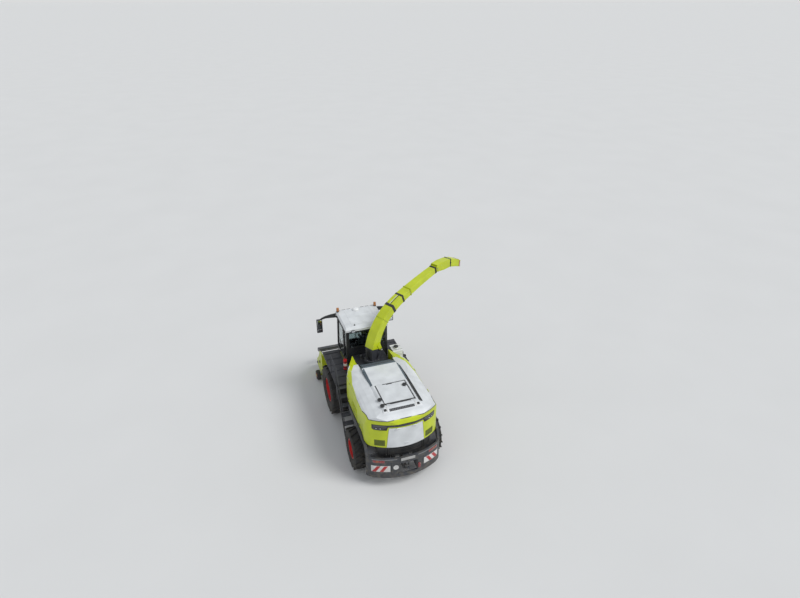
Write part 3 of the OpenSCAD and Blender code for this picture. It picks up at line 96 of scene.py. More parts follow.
class Grain(Enum):
    """Kinds of fine relief that a surface can have."""

    PEEL = "sprayed paint"
    MOULDED = "moulded plastic"
    BRUSHED = "brushed metal"
    CAST = "rough casting"
    WOVEN = "woven cloth"
    RIBBED = "ribbed lens"


EVEN = (1.0, 1.0, 1.0)
# Scale, detail, stretch and depth of the grains that are a noise
RELIEFS: dict[Grain, tuple[float, float, Point, float]] = {
    Grain.PEEL: (420.0, 2.0, EVEN, 0.0004),
    Grain.MOULDED: (900.0, 3.0, EVEN, 0.0006),
    Grain.BRUSHED: (60.0, 5.0, (1.0, 18.0, 18.0), 0.0006),
    Grain.CAST: (160.0, 8.0, EVEN, 0.0015)}


# Finishes


class NodeSheet:
    """Builds the nodes of one material with short calls."""

    def __init__(self, name: str) -> None:
        """Starts an empty material of that name."""
        self.material = bpy.data.materials.new(name)
        self.material.use_nodes = True
        self.tree = self.material.node_tree
        self.tree.nodes.clear()
        self.shader = self.node("ShaderNodeBsdfPrincipled")
        output = self.node("ShaderNodeOutputMaterial")
        self.link(self.shader.outputs[0], output.inputs[0])
        self.place = self.node("ShaderNodeTexCoord").outputs["Object"]

    def node(self, kind: str, **values: object) -> bpy.types.Node:
        """Adds a node.

        Args:
            kind: Blender's name for the node's type.
            **values: attributes to set on it.

        Returns:
            The new node.
        """
        made = self.tree.nodes.new(kind)
        for key, value in values.items():
            setattr(made, key, value)
        return made

    def link(self, start: bpy.types.NodeSocket, end: bpy.types.NodeSocket) -> None:
        """Joins an output to an input."""
        self.tree.links.new(start, end)

    def math(self, kind: str, a: object, b: object = 0.0) -> object:
        """Returns the output of a maths node fed by sockets or numbers."""
        made = self.node("ShaderNodeMath", operation=kind, use_clamp=False)
        for slot, value in zip(made.inputs, (a, b)):
            if isinstance(value, bpy.types.NodeSocket):
                self.link(value, slot)
            else:
                slot.default_value = float(value)
        return made.outputs[0]

    def noise(self, scale: float, detail: float = 3.0, stretch: Point = EVEN) -> object:
        """Returns the value of a noise pattern.

        Args:
            scale: how many features there are in a metre.
            detail: how many finer layers are added.
            stretch: scale of the pattern along each axis.

        Returns:
            The noise node's output socket.
        """
        mapping = self.node("ShaderNodeMapping")
        mapping.inputs["Scale"].default_value = tuple(stretch)
        self.link(self.place, mapping.inputs["Vector"])
        made = self.node("ShaderNodeTexNoise")
        made.inputs["Scale"].default_value = scale
        made.inputs["Detail"].default_value = detail
        self.link(mapping.outputs[0], made.inputs["Vector"])
        return made.outputs["Fac"]

    def spread(self, value: object, low: float, high: float,
               out_low: float = 0.0, out_high: float = 1.0) -> object:
        """Returns value mapped from one range to another and clamped."""
        made = self.node("ShaderNodeMapRange", clamp=True)
        self.link(value, made.inputs["Value"])
        for key, number in (("From Min", low), ("From Max", high),
                            ("To Min", out_low), ("To Max", out_high)):
            made.inputs[key].default_value = number
        return made.outputs[0]

    def blend(self, amount: object, a: object, b: object) -> object:
        """Returns a colour between two colours or colour sockets."""
        made = self.node("ShaderNodeMix", data_type="RGBA")
        self.link(amount, made.inputs[0])
        for slot, value in ((made.inputs[6], a), (made.inputs[7], b)):
            if isinstance(value, bpy.types.NodeSocket):
                self.link(value, slot)
            else:
                slot.default_value = (*value, 1.0)
        return made.outputs[2]

    def relief(self, height: object, strength: float, distance: float) -> None:
        """Drives the shader's normal from a height pattern."""
        bump = self.node("ShaderNodeBump")
        bump.inputs["Strength"].default_value = strength
        bump.inputs["Distance"].default_value = distance
        self.link(height, bump.inputs["Height"])
        self.link(bump.outputs[0], self.shader.inputs["Normal"])


@dataclass(frozen=True)
class Finish:
    """One surface finish of the machine.

    The colour is varied by a slow mottle, road dust settles low down,
    and a fine grain gives the relief.
    """

    name: str
    colour: Colour
    roughness: float = 0.4
    metallic: float = 0.0
    coat: float = 0.0
    grain: Grain = Grain.PEEL
    relief: float = 0.12
    mottle: float = 0.07
    dust: float = 0.35
    dust_colour: Colour = (0.21, 0.18, 0.13)
    clear: float = 0.0
    slot: str = "steel"

    def material(self) -> bpy.types.Material:
        """Returns this finish's material, made on first use."""
        known = bpy.data.materials.get(self.name)
        if known:
            return known
        sheet = NodeSheet(self.name)
        self.paint(sheet)
        self.emboss(sheet)
        return sheet.material

    def paint(self, sheet: NodeSheet) -> None:
        """Sets colour, dust, roughness and gloss on the sheet."""
        shader = sheet.shader
        tone = sheet.spread(sheet.noise(2.3, 5.0), 0.3, 0.7)
        deep = tuple(c * (1 - self.mottle * 2) for c in self.colour)
        fair = tuple(min(c * (1 + self.mottle), 1) for c in self.colour)
        body = sheet.blend(tone, deep, fair)
        split = sheet.node("ShaderNodeSeparateXYZ")
        sheet.link(sheet.place, split.inputs[0])
        low = sheet.spread(split.outputs[2], 0.2, 2.4, 1.0, 0.12)
        spots = sheet.spread(sheet.noise(7.0, 6.0), 0.42, 0.72)
        speck = sheet.spread(sheet.noise(90.0, 4.0), 0.45, 0.65, 0.35, 1.0)
        dusty = sheet.math("MULTIPLY", sheet.math("MULTIPLY", low, spots),
                           sheet.math("MULTIPLY", speck, self.dust))
        sheet.link(sheet.blend(dusty, body, self.dust_colour),
                   shader.inputs["Base Color"])
        rough = sheet.math("ADD", sheet.math("MULTIPLY", dusty, 0.35),
                           sheet.spread(sheet.noise(14.0, 4.0), 0.3, 0.7,
                                        self.roughness * 0.85, self.roughness * 1.15))
        sheet.link(rough, shader.inputs["Roughness"])
        shader.inputs["Metallic"].default_value = self.metallic
        shader.inputs["Coat Weight"].default_value = self.coat
        shader.inputs["Coat Roughness"].default_value = 0.08
        shader.inputs["Transmission Weight"].default_value = self.clear

    def emboss(self, sheet: NodeSheet) -> None:
        """Sets the relief of the finish's grain on the sheet."""
        if self.grain not in RELIEFS:
            self.emboss_waves(sheet)
            return
        scale, detail, stretch, depth = RELIEFS[self.grain]
        sheet.relief(sheet.noise(scale, detail, stretch), self.relief, depth)

    def emboss_waves(self, sheet: NodeSheet) -> None:
        """Sets crossed or single waves as the relief."""
        scale = 520.0 if self.grain is Grain.WOVEN else 130.0
        heights = []
        for axis in ("X", "Y", "Z"):
            wave = sheet.node("ShaderNodeTexWave", bands_direction=axis)
            wave.inputs["Scale"].default_value = scale
            sheet.link(sheet.place, wave.inputs["Vector"])
            heights.append(wave.outputs["Fac"])
        height = heights[1]
        if self.grain is Grain.WOVEN:
            height = sheet.math("MULTIPLY", heights[0],
                                sheet.math("ADD", heights[1], heights[2]))
        sheet.relief(height, self.relief, 0.001)


LIME = Finish("lime_paint", (0.47, 0.55, 0.004), 0.38, coat=0.2, slot="lime")
# Darkened copy of the lime paint: painted shade for the recessed corner vents.
LIME_PAINTED_SHADE = Finish("lime_painted_shade", (0.10, 0.125, 0.012), 0.45, slot="lime")
WHITE = Finish("white_paint", (0.62, 0.64, 0.65), 0.38, coat=0.25, dust=0.2,
               slot="white")
SLATE = Finish("slate_paint", (0.075, 0.082, 0.10), 0.45, coat=0.15, dust=0.6,
               slot="engine_grey")
DECK_DARK = Finish("deck_paint", (0.030, 0.032, 0.040), 0.5, dust=0.5, slot="slate")
FRAME_GREY = Finish("frame_paint", (0.05, 0.054, 0.062), 0.45, dust=0.75,
                    slot="frame_grey")
AXLE_DARK = Finish("axle_paint", (0.032, 0.034, 0.038), 0.5, dust=0.9,
                   grain=Grain.CAST, relief=0.3, slot="axle_dark")
CAB_BLACK = Finish("cab_paint", (0.018, 0.019, 0.022), 0.3, coat=0.3)
SCREEN = Finish("screen_paint", (0.10, 0.135, 0.155), 0.42, dust=0.4)
SKIRT = Finish("skirt_paint", (0.042, 0.045, 0.052), 0.5, dust=0.9, mottle=0.12)
# Pale grey for a strip along the bumper's top edge: a painted highlight.
SKIRT_EDGE_HIGHLIGHT = Finish("skirt_edge_highlight", (0.20, 0.205, 0.215), 0.45, dust=0.4, slot="slate")
RED = Finish("red_paint", (0.52, 0.018, 0.02), 0.34, coat=0.3, dust=0.6, slot="red")
ENGINE = Finish("engine_casting", (0.09, 0.10, 0.11), 0.55, metallic=0.3,
                grain=Grain.CAST, relief=0.5)
RUBBER = Finish("tyre_rubber_black", (0.020, 0.020, 0.021), 0.75, dust=0.8,
                grain=Grain.CAST, relief=0.35, mottle=0.15,
                dust_colour=(0.13, 0.11, 0.075), slot="tyre_rubber")
SEAL = Finish("seal_rubber", (0.012, 0.012, 0.013), 0.6, dust=0.2,
              grain=Grain.MOULDED, slot="black_plastic")
PLASTIC = Finish("black_moulding", (0.016, 0.017, 0.019), 0.5,
                 grain=Grain.MOULDED, relief=0.3, slot="black_plastic")
TRIM_GREY = Finish("grey_moulding", (0.11, 0.115, 0.125), 0.55,
                   grain=Grain.MOULDED, relief=0.3, dust=0.1)
TANK = Finish("tank_moulding", (0.70, 0.71, 0.68), 0.45,
              grain=Grain.MOULDED, relief=0.25, dust=0.3, slot="tank_plastic")
STEEL = Finish("worn_steel", (0.36, 0.37, 0.38), 0.38, metallic=0.9,
               grain=Grain.BRUSHED, relief=0.3, dust=0.5)
ZINC = Finish("plated_bolts", (0.52, 0.52, 0.50), 0.35, metallic=0.9,
              grain=Grain.BRUSHED, dust=0.3)
CHROME = Finish("chromed_rod", (0.78, 0.79, 0.80), 0.08, metallic=1.0,
                grain=Grain.BRUSHED, relief=0.04, dust=0.1)
MIRROR = Finish("mirror_face", (0.72, 0.75, 0.77), 0.03, metallic=1.0,
                relief=0.0, dust=0.05)
GLASS = Finish("tinted_glass", (0.50, 0.58, 0.58), 0.02, relief=0.0,
               mottle=0.02, dust=0.03, clear=1.0)
CLOTH = Finish("seat_cloth", (0.045, 0.047, 0.05), 0.85,
               grain=Grain.WOVEN, relief=0.6, dust=0.1, slot="cab_black")
CLEAR_LENS = Finish("clear_lens", (0.62, 0.65, 0.68), 0.08, coat=1.0, metallic=0.3,
                    grain=Grain.RIBBED, relief=0.25, dust=0.1, slot="lamp_plastic")
LAMP_CASE = Finish("lamp_case", (0.10, 0.10, 0.105), 0.2, coat=0.6, dust=0.2)
RED_LENS = Finish("red_lens", (0.22, 0.006, 0.010), 0.12, coat=1.0,
                  grain=Grain.RIBBED, relief=0.4, dust=0.25, slot="red")
AMBER_LENS = Finish("amber_lens", (0.36, 0.12, 0.012), 0.12, coat=1.0,
                    grain=Grain.RIBBED, relief=0.4, dust=0.1, slot="lamp_plastic")
GLOSS_BLACK = Finish("gloss_black", (0.010, 0.011, 0.013), 0.08, coat=1.0,
                     relief=0.02, dust=0.1, slot="black_plastic")
SIGN_RED = Finish("sign_red", (0.40, 0.018, 0.02), 0.3, dust=0.4, slot="red")
PLATE_PALE = Finish("plate_pale", (0.36, 0.36, 0.35), 0.4, dust=0.6, slot="white")
SIGN_WHITE = Finish("sign_white", (0.62, 0.61, 0.59), 0.35, dust=0.4, slot="white")
DOME_WHITE = Finish("dome_white", (0.76, 0.77, 0.77), 0.3, dust=0.05, slot="white")
AMBER_DARK = Finish("amber_dark", (0.26, 0.05, 0.008), 0.14, coat=0.8,
                    grain=Grain.RIBBED, relief=0.4, dust=0.25)
DISPLAY = Finish("display_face", (0.02, 0.05, 0.07), 0.1, coat=1.0,
                 dust=0.0, slot="black_plastic")
BLUE_CAP = Finish("coupler_blue", (0.03, 0.08, 0.3), 0.4, grain=Grain.MOULDED)
GREEN_CAP = Finish("coupler_green", (0.03, 0.22, 0.06), 0.4, grain=Grain.MOULDED)


# Making meshes


class Former:
    """Collects the faces of one piece, in metres in the row frame."""

    def __init__(self, turn: Optional[Matrix] = None) -> None:
        """Starts an empty piece.

        Args:
            turn: matrix from the caller's local frame to the row frame.
        """
        self.mesh = bmesh.new()
        self.turn = turn or Matrix.Translation(MACHINE)

    def add(self, points: Iterable[Point]) -> list[bmesh.types.BMVert]:
        """Adds vertices at local points and returns them."""
        return [self.mesh.verts.new(self.turn @ Vector(p)) for p in points]

    def face(self, verts: Sequence[bmesh.types.BMVert]) -> None:
        """Adds a face, leaving out one that is already there."""
        try:
            self.mesh.faces.new(verts)
        except ValueError:
            pass

    def loft(self, rings: Sequence[Sequence[Point]],
             capped: bool = True, looped: bool = False) -> None:
        """Joins closed rings of equal length into a tube.

        Args:
            rings: lists of local points, one list per ring.
            capped: whether the first and last ring are filled.
            looped: whether the last ring joins the first.
        """
        made = [self.add(ring) for ring in rings]
        pairs = list(zip(made, made[1:]))
        if looped:
            pairs.append((made[-1], made[0]))
            capped = False
        for a, b in pairs:
            n = len(a)
            for i in range(n):
                self.face((a[i], a[(i + 1) % n], b[(i + 1) % n], b[i]))
        if capped:
            self.face(list(reversed(made[0])))
            self.face(made[-1])

    def slab(self, low: Point, high: Point, chamfer: float = 0.0) -> None:
        """Adds a box with its upright edges cut back.

        Args:
            low: lowest corner.
            high: highest corner.
            chamfer: how far the edges are cut back.
        """
        (x0, y0, z0), (x1, y1, z1) = low, high
        c = min(chamfer, (x1 - x0) / 3, (y1 - y0) / 3, (z1 - z0) / 3)
        if c <= 0:
            ring = [(x0, y0), (x1, y0), (x1, y1), (x0, y1)]
            self.loft([[(x, y, z) for x, y in ring] for z in (z0, z1)])
            return

        def ring_at(shrink: float, z: float) -> list[Point]:
            """Returns the eight-cornered outline at a height."""
            a, b = x0 + shrink, x1 - shrink
            d, e = y0 + shrink, y1 - shrink
            return [(a + c, d, z), (b - c, d, z), (b, d + c, z), (b, e - c, z),
                    (b - c, e, z), (a + c, e, z), (a, e - c, z), (a, d + c, z)]
        self.loft([ring_at(c, z0), ring_at(0, z0 + c), ring_at(0, z1 - c),
                   ring_at(c, z1)])

    def plate(self, outline: Sequence[Pair], axis: str,
              low: float, high: float) -> None:
        """Adds a flat outline made thick along an axis.

        Args:
            outline: points in the other two axes, in x, y, z order.
            axis: the axis of the thickness, "x", "y" or "z".
            low: where the thickness starts.
            high: where it ends.
        """
        def lift(p: Pair, d: float) -> Point:
            """Returns a point of the outline at a height."""
            a, b = p
            return {"x": (d, a, b), "y": (a, d, b), "z": (a, b, d)}[axis]
        self.loft([[lift(p, d) for p in outline] for d in (low, high)])

    def pipe(self, path: Sequence[Point], radius: float,
             sides: int = 10, bend: float = 0.0) -> None:
        """Adds a round bar or hose along a path.

        Args:
            path: points that the bar's middle passes.
            radius: radius of the bar.
            sides: how many flats stand for the round.
            bend: radius at which corners of the path are rounded.
        """
        points = [Vector(p) for p in path]
        if bend > 0:
            points = round_corners(points, bend)
        rings, side = [], None
        for i, p in enumerate(points):
            ahead = points[min(i + 1, len(points) - 1)]
            behind = points[max(i - 1, 0)]
            run = (ahead - behind).normalized()
            if side is None:
                side = run.orthogonal().normalized()
            side = (side - run * side.dot(run)).normalized()
            up = run.cross(side)
            rings.append([p + (side * math.cos(a) + up * math.sin(a))
                          * radius for a in circle_angles(sides)])
        self.loft(rings)

    def turned(self, profile: Sequence[Pair], centre: Point, axis: Point,
               steps: int = 32, looped: bool = False) -> None:
        """Adds a profile turned about an axis.

        Args:
            profile: pairs of distance along the axis and radius.
            centre: local point at distance zero.
            axis: local direction of the axis.
            steps: how many flats go round.
            looped: whether the profile closes on itself, as a ring.
        """
        run = Vector(axis).normalized()
        side = run.orthogonal().normalized()
        up = run.cross(side)
        spin = circle_angles(steps)
        rings = [[Vector(centre) + run * d + (side * math.cos(a) + up * math.sin(a))
                  * max(r, 1e-5) for a in spin] for d, r in profile]
        self.loft(rings, capped=not looped, looped=looped)

    def hexagon(self, centre: Point, axis: Point, across: float, height: float) -> None:
        """Adds a bolt head or nut with a washer under it."""
        self.turned([(0, across * 0.72), (height * 0.18, across * 0.72)],
                    centre, axis, 16)
        self.turned([(height * 0.18, across * 0.56), (height * 0.85, across * 0.56),
                     (height, across * 0.46)], centre, axis, 6)

    def stud(self, x: float, y: float, dx: float, dy: float, low: float,
             high: float) -> None:
        """Adds a raised diamond whose long half axis is dx, dy."""
        ring = [(x - dx, y - dy), (x - dy * 0.3, y + dx * 0.3),
                (x + dx, y + dy), (x + dy * 0.3, y - dx * 0.3)]
        self.loft([[(*p, z) for p in ring] for z in (low, high)])

    def border(self, corners: Sequence[Point], radius: float) -> None:
        """Adds straight bars from corner to corner, all the way round."""
        for a, b in zip(corners, [*corners[1:], corners[0]]):
            self.pipe([a, b], radius, 8)

    def sheet(self, spot: Spot, columns: int, rows: int, proud: float,
              sunk: float = 0.004) -> None:
        """Adds a patch that follows a surface.

        Args:
            spot: gives a row-frame point and normal for u and v.
            columns: how many steps there are in u.
            rows: how many steps there are in v.
            proud: how far the patch stands out of the surface.
            sunk: how far its underside lies under the surface.
        """
        grids = []
        for shift in (proud, -sunk):
            grid = []
            for j in range(rows + 1):
                line = []
                for i in range(columns + 1):
                    p, n = spot(i / columns, j / rows)
                    line.append(self.mesh.verts.new(p + n * shift))
                grid.append(line)
            grids.append(grid)
        top, low = grids
        for j in range(rows):
            for i in range(columns):
                self.face((top[j][i], top[j][i + 1], top[j + 1][i + 1], top[j + 1][i]))
                self.face((low[j][i], low[j + 1][i], low[j + 1][i + 1], low[j][i + 1]))
        rim = ([(0, i) for i in range(columns)] + [(j, columns) for j in range(rows)]
               + [(rows, i) for i in range(columns, 0, -1)]
               + [(j, 0) for j in range(rows, 0, -1)])
        for (j, i), (q, p) in zip(rim, rim[1:] + rim[:1]):
            self.face((top[j][i], low[j][i], low[q][p], top[q][p]))

    def piece(self, name: str, finish: Finish, bevel: float = 0.0, smooth: float = 35.0,
              body: str = "chassis", slot: str = "") -> bpy.types.Object:
        """Turns the faces into an object that rides on a body.

        Args:
            name: the object's name.
            finish: the finish to dress it in.
            bevel: width at which its sharp edges are rounded.
            smooth: angle in degrees under which edges shade smooth.
            body: the CAD body that it moves with.
            slot: the record's material slot, if not the finish's own; it is worked out
                but not used.

        Returns:
            The new object.
        """
        bmesh.ops.remove_doubles(self.mesh, verts=self.mesh.verts, dist=1e-6)
        bmesh.ops.dissolve_degenerate(self.mesh, edges=self.mesh.edges, dist=1e-6)
        bmesh.ops.recalc_face_normals(self.mesh, faces=self.mesh.faces)
        data = bpy.data.meshes.new(name)
        self.mesh.to_mesh(data)
        self.mesh.free()
        made = bpy.data.objects.new(name, data)
        bpy.context.scene.collection.objects.link(made)
        data.materials.append(finish.material())
        soften(made, bevel, smooth)
        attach(made, body)
        slot = slot or finish.slot
        LOG.info("%s: %d faces on %s", name, len(data.polygons), body)
        return made


def circle_angles(steps: int) -> list[float]:
    """Returns equally spaced angles round a circle."""
    return [2 * math.pi * i / steps for i in range(steps)]


def round_corners(points: Sequence[Vector], bend: float) -> list[Vector]:
    """Returns a path with its inner corners rounded by short arcs."""
    out = [points[0]]
    for before, corner, after in zip(points, points[1:], points[2:]):
        into, away = before - corner, after - corner
        cut = min(bend, into.length * 0.45, away.length * 0.45)
        a = corner + into.normalized() * cut
        b = corner + away.normalized() * cut
        for k in range(6):
            t = k / 5
            out.append(a * (1 - t) ** 2 + corner * 2 * t * (1 - t) + b * t ** 2)
    out.append(points[-1])
    return out


def soften(made: bpy.types.Object, bevel: float, smooth: float,
           least: float = 40.0) -> None:
    """Rounds an object's edges and smooths the shading of the rest.

    Args:
        made: the object.
        bevel: width at which its edges are rounded.
        smooth: angle in degrees under which edges shade smooth.
        least: angle in degrees from which edges are rounded.
    """
    made.data.polygons.foreach_set("use_smooth", [True] * len(made.data.polygons))
    if bevel > 0:
        cut = made.modifiers.new("edges", "BEVEL")
        cut.width = bevel
        cut.segments = 2
        cut.limit_method = "ANGLE"
        cut.angle_limit = math.radians(least)
        cut.harden_normals = False
    sharp = made.modifiers.new("shade", "EDGE_SPLIT")
    sharp.split_angle = math.radians(smooth)


class Skin:
    """The outer surface of some CAD nodes, found by straight rays."""

    BEHIND, ABOVE, ASIDE = -9.0, 7.0, 4.0

    def __init__(self, *names: str) -> None:
        """Gathers the meshes of those nodes."""
        verts, faces = [], []
        for name in names:
            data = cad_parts[name].data
            start = len(verts)
            verts += [v.co.copy() for v in data.vertices]
            faces += [[start + i for i in p.vertices] for p in data.polygons]
        self.tree = BVHTree.FromPolygons(verts, faces)

    def meet(self, start: Vector, run: Vector) -> Hit:
        """Returns the point and outward normal where a ray lands."""
        place, normal, _, _ = self.tree.ray_cast(start, run)
        if place is None:
            place, normal, _, _ = self.tree.find_nearest(start + run * 3)
        if normal.dot(run) > 0:
            normal = -normal
        return place, normal

    def behind(self, y: float, z: float) -> Hit:
        """Returns where a ray from far behind lands, at y and z."""
        return self.meet(at(self.BEHIND, y, z), Vector(FORWARD))

    def above(self, x: float, y: float) -> Hit:
        """Returns where a ray from above lands, at x and y."""
        return self.meet(at(x, y, self.ABOVE), Vector(DOWN))

    def beside(self, x: float, z: float, side: Side) -> Hit:
        """Returns where a ray from one side lands, at x and z."""
        start = at(x, side.value * self.ASIDE, z)
        return self.meet(start, Vector((0, -side.value, 0)))

    def across(self, y: float, x: float) -> Hit:
        """Returns where a ray from above lands, at y and x."""
        return self.above(x, y)

    def rim(self, x: float, y: float, first: float, last: float,
            angle: float) -> Vector:
        """Returns the first point that level rays meet.

        Args:
            x: where the rays cross, along the machine.
            y: where they cross, across it.
            first: height of the first ray.
            last: height of the last ray.
            angle: bearing of the rays.

        Returns:
            The first hit, in the row frame.
        """
        run = Vector((math.cos(angle), math.sin(angle), 0))
        for step in range(41):
            z = between(first, last, step / 40)
            place = self.tree.ray_cast(at(x, y, z) - run * 4, run)[0]
            if place is not None:
                return place
        return self.tree.find_nearest(at(x, y, last) - run)[0]

    def slanted(self, x: float, height: float, side: Side) -> Hit:
        """Returns where a ray that falls inwards from one side lands.

        Args:
            x: place along the machine.
            height: the ray's height at 1.3 m from the middle.
            side: the side it comes from.

        Returns:
            The point and its outward normal.
        """
        s = side.value
        return self.meet(at(x, s * self.ASIDE, height + 1.89),
                         Vector((0, -s, -0.7)).normalized())


def between(a: float, b: float, t: float) -> float:
    """Returns the number a share t of the way from a to b."""
    return a + (b - a) * t


def about(middle: float, width: float) -> Pair:
    """Returns the two ends of a width round its middle."""
    return middle - width / 2, middle + width / 2


def patch(ray: Callable[..., Hit], first: Pair, second: Pair, *rest: object) -> Spot:
    """Returns the patch of a surface that a skin's rays cover.

    Args:
        ray: one of the skin's methods, such as its behind or above.
        first: range of the ray's first value, which u runs through.
        second: range of its second value, which v runs through.
        *rest: what the method takes after these two.

    Returns:
        The function that gives a point and normal for u and v.
    """
    def spot(u: float, v: float) -> Hit:
        """Returns the point and normal at two shares of the patch."""
        return ray(between(*first, u), between(*second, v), *rest)
    return spot


def lay(name: str, finish: Finish, spots: Iterable[Spot], steps: tuple[int, int],
        proud: float, sunk: float = 0.004, bevel: float = 0.0, smooth: float = 35.0,
        body: str = "chassis", slot: str = "") -> None:
    """Makes a piece of patches that lie on a surface.

    Args:
        name: the piece's name.
        finish: the finish to dress it in.
        spots: the patches.
        steps: how many columns and rows each patch has.
        proud: how far they stand out of the surface.
        sunk: how far their undersides lie under it.
        bevel: width at which sharp edges are rounded.
        smooth: angle in degrees under which edges shade smooth.
        body: the CAD body that it moves with.
        slot: the record's material slot, if not the finish's own; it is passed on but
            not used.
    """
    form = Former()
    for spot in spots:
        form.sheet(spot, *steps, proud, sunk)
    form.piece(name, finish, bevel, smooth, body, slot)


# Sub-assemblies


def dress(node: str, finish: Finish, bevel: float = 0.0,
          smooth: float = 32.0, least: float = 40.0) -> None:
    """Gives a CAD node its finish, softened edges and shading.

    Args:
        node: the CAD node's name.
        finish: the finish it is dressed in.
        bevel: width at which its edges are rounded.
        smooth: angle in degrees under which edges shade smooth.
        least: angle in degrees from which edges are rounded.
    """
    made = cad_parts[node]
    made.data.materials.clear()
    made.data.materials.append(finish.material())
    soften(made, bevel, smooth, least)
    LOG.info("%s dressed in %s", node, finish.name)


class Assembly:
    """A sub-assembly: finishes for its CAD nodes and added pieces."""

    def dress(self) -> None:
        """Gives the sub-assembly's CAD nodes their finishes."""

    def build(self) -> None:
        """Adds the sub-assembly's own pieces."""


@dataclass(frozen=True)
class WheelSizes:
    """Sizes of one wheel, in metres."""

    word: str
    x: float
    y: float
    radius: float
    half_w: float
    rim_r: float
    disc: float
    stud_r: float
    studs: int
    hub_r: float


FRONT = WheelSizes("front", 0.0, 1.388, 1.04, 0.39, 0.4825, 0.09, 0.225, 12, 0.15)
REAR = WheelSizes("rear", -3.5, 1.43, 0.79, 0.30, 0.355, 0.04, 0.185, 10, 0.11)


@dataclass
class Wheel(Assembly):
    """A tyre on its rim, with nuts, valve, sidewall ribs and hub cap."""

    sizes: WheelSizes
    side: Side
    nut: float = 0.026

    @property
    def tag(self) -> str:
        """Returns the name's ending for this wheel."""
        return f"{self.sizes.word}_{self.side.word}"

    def spot(self, out: float, r: float, angle: float) -> Point:
        """Returns a point out from the wheel's middle, at r and angle."""
        s = self.sizes
        return (s.x + r * math.cos(angle), self.side.value * (s.y + out),
                s.radius + r * math.sin(angle))

    def dress(self) -> None:
        """Dresses tyre and rim."""
        dress(f"tyre_{self.tag}", RUBBER, 0.006, 38)
        dress(f"rim_{self.tag}", RED, 0.002)

    def build(self) -> None:
        """Adds nuts, valve, ribs and the hub's cap."""
        s, out = self.sizes, (0, self.side.value, 0)
        nuts = Former()
        for a in circle_angles(s.studs):
            nuts.hexagon(self.spot(s.disc - 0.001, s.stud_r, a), out, self.nut, 0.03)
        nuts.piece(f"nuts_{self.tag}", ZINC, 0.001, body=f"wheel_{self.tag}")
        self.add_ribs(out)
        self.add_valve()
        self.add_cap(out)
        self.add_sipes()

    def add_ribs(self, out: Point) -> None:
        """Adds rings that stand on both sidewalls."""
        s, ribs = self.sizes, Former()
        low, high = s.rim_r + 0.075, s.radius - 0.046
        middle = (low + high) / 2
        wall = [(s.rim_r + 0.034, s.half_w * 0.78), (low, s.half_w * 0.9),
                (middle, s.half_w), (high - 0.07, s.half_w * 0.97)]

        def height(r: float) -> float:
            """Returns how far the sidewall stands out at a radius."""
            for (r0, h0), (r1, h1) in zip(wall, wall[1:]):
                if r <= r1:
                    return between(h0, h1, (r - r0) / (r1 - r0))
            return wall[-1][1]
        for face in (1, -1):
            for r in (low + 0.012, low + 0.032, middle - 0.03,
                      middle - 0.012, high - 0.085):
                mid = height(r) * face
                ring = [(mid - face * 0.004, r - 0.006),
                        (mid + face * 0.0035, r - 0.003),
                        (mid + face * 0.0035, r + 0.003),
                        (mid - face * 0.004, r + 0.006)]
                ribs.turned(ring, (s.x, self.side.value * s.y, s.radius),
                            out, 72, looped=True)
        ribs.piece(f"ribs_{self.tag}", RUBBER, smooth=60, body=f"wheel_{self.tag}")

    def add_valve(self) -> None:
        """Adds the valve's stem and cap at the rim's edge."""
        s, valve = self.sizes, Former()
        r = s.rim_r - 0.05
        a, b = (self.spot(o, r - d, 0.35) for o, d in
                ((s.disc + 0.02, 0.0), (s.disc + 0.09, 0.03)))
        valve.pipe([a, b], 0.007, 8)
        valve.pipe([b, self.spot(s.disc + 0.115, r - 0.041, 0.35)], 0.0095, 8)
        valve.piece(f"valve_{self.tag}", PLASTIC, body=f"wheel_{self.tag}")

    def add_cap(self, out: Point) -> None:
        """Adds the hub's bolted cap, which stands still."""
        s = self.sizes
        end = s.disc + (0.07 if s is FRONT else 0.06)
        body = "chassis" if s is FRONT else f"steer_knuckle_{self.side.word}"
        cap = Former()
        r = s.hub_r - 0.012
        cap.turned([(-0.002, r), (0.012, r), (0.02, r - 0.008), (0.03, r * 0.62),
                    (0.045, r * 0.58), (0.052, r * 0.5), (0.054, 0.02), (0.054, 0.0)],
                   self.spot(end, 0, 0), out, 40)
        cap.piece(f"hub_cap_{self.tag}", AXLE_DARK, 0.002, body=body)
        bolts = Former()
        for a in circle_angles(8):
            bolts.hexagon(self.spot(end + 0.011, r * 0.82, a), out, 0.016, 0.014)
        bolts.hexagon(self.spot(end + 0.053, 0, 0), out, 0.024, 0.014)
        bolts.piece(f"hub_bolts_{self.tag}", ZINC, body=body)

    def add_sipes(self) -> None:
        """Adds small bars on the tread between the lugs' feet."""
        s, bars = self.sizes, Former()
        lugs = 18 if s is FRONT else 16
        r = s.radius - 0.046
        for i in range(lugs * 2):
            a = 2 * math.pi * (i + 0.5) / (lugs * 2)
            side = 1 if i % 2 else -1
            for out in (0.62, 0.74, 0.86):
                mid = side * s.half_w * out
                drop = 0.0 if out < 0.8 else 0.012
                ring = [self.spot(mid + dy, r + dr - drop, a + da)
                        for dr in (-0.006, 0.006)
                        for dy, da in ((-0.006, -0.018), (0.006, -0.018),
                                       (0.006, 0.018), (-0.006, 0.018))]
                bars.loft([ring[:4], ring[4:]])
        bars.piece(f"tread_bars_{self.tag}", RUBBER, body=f"wheel_{self.tag}")


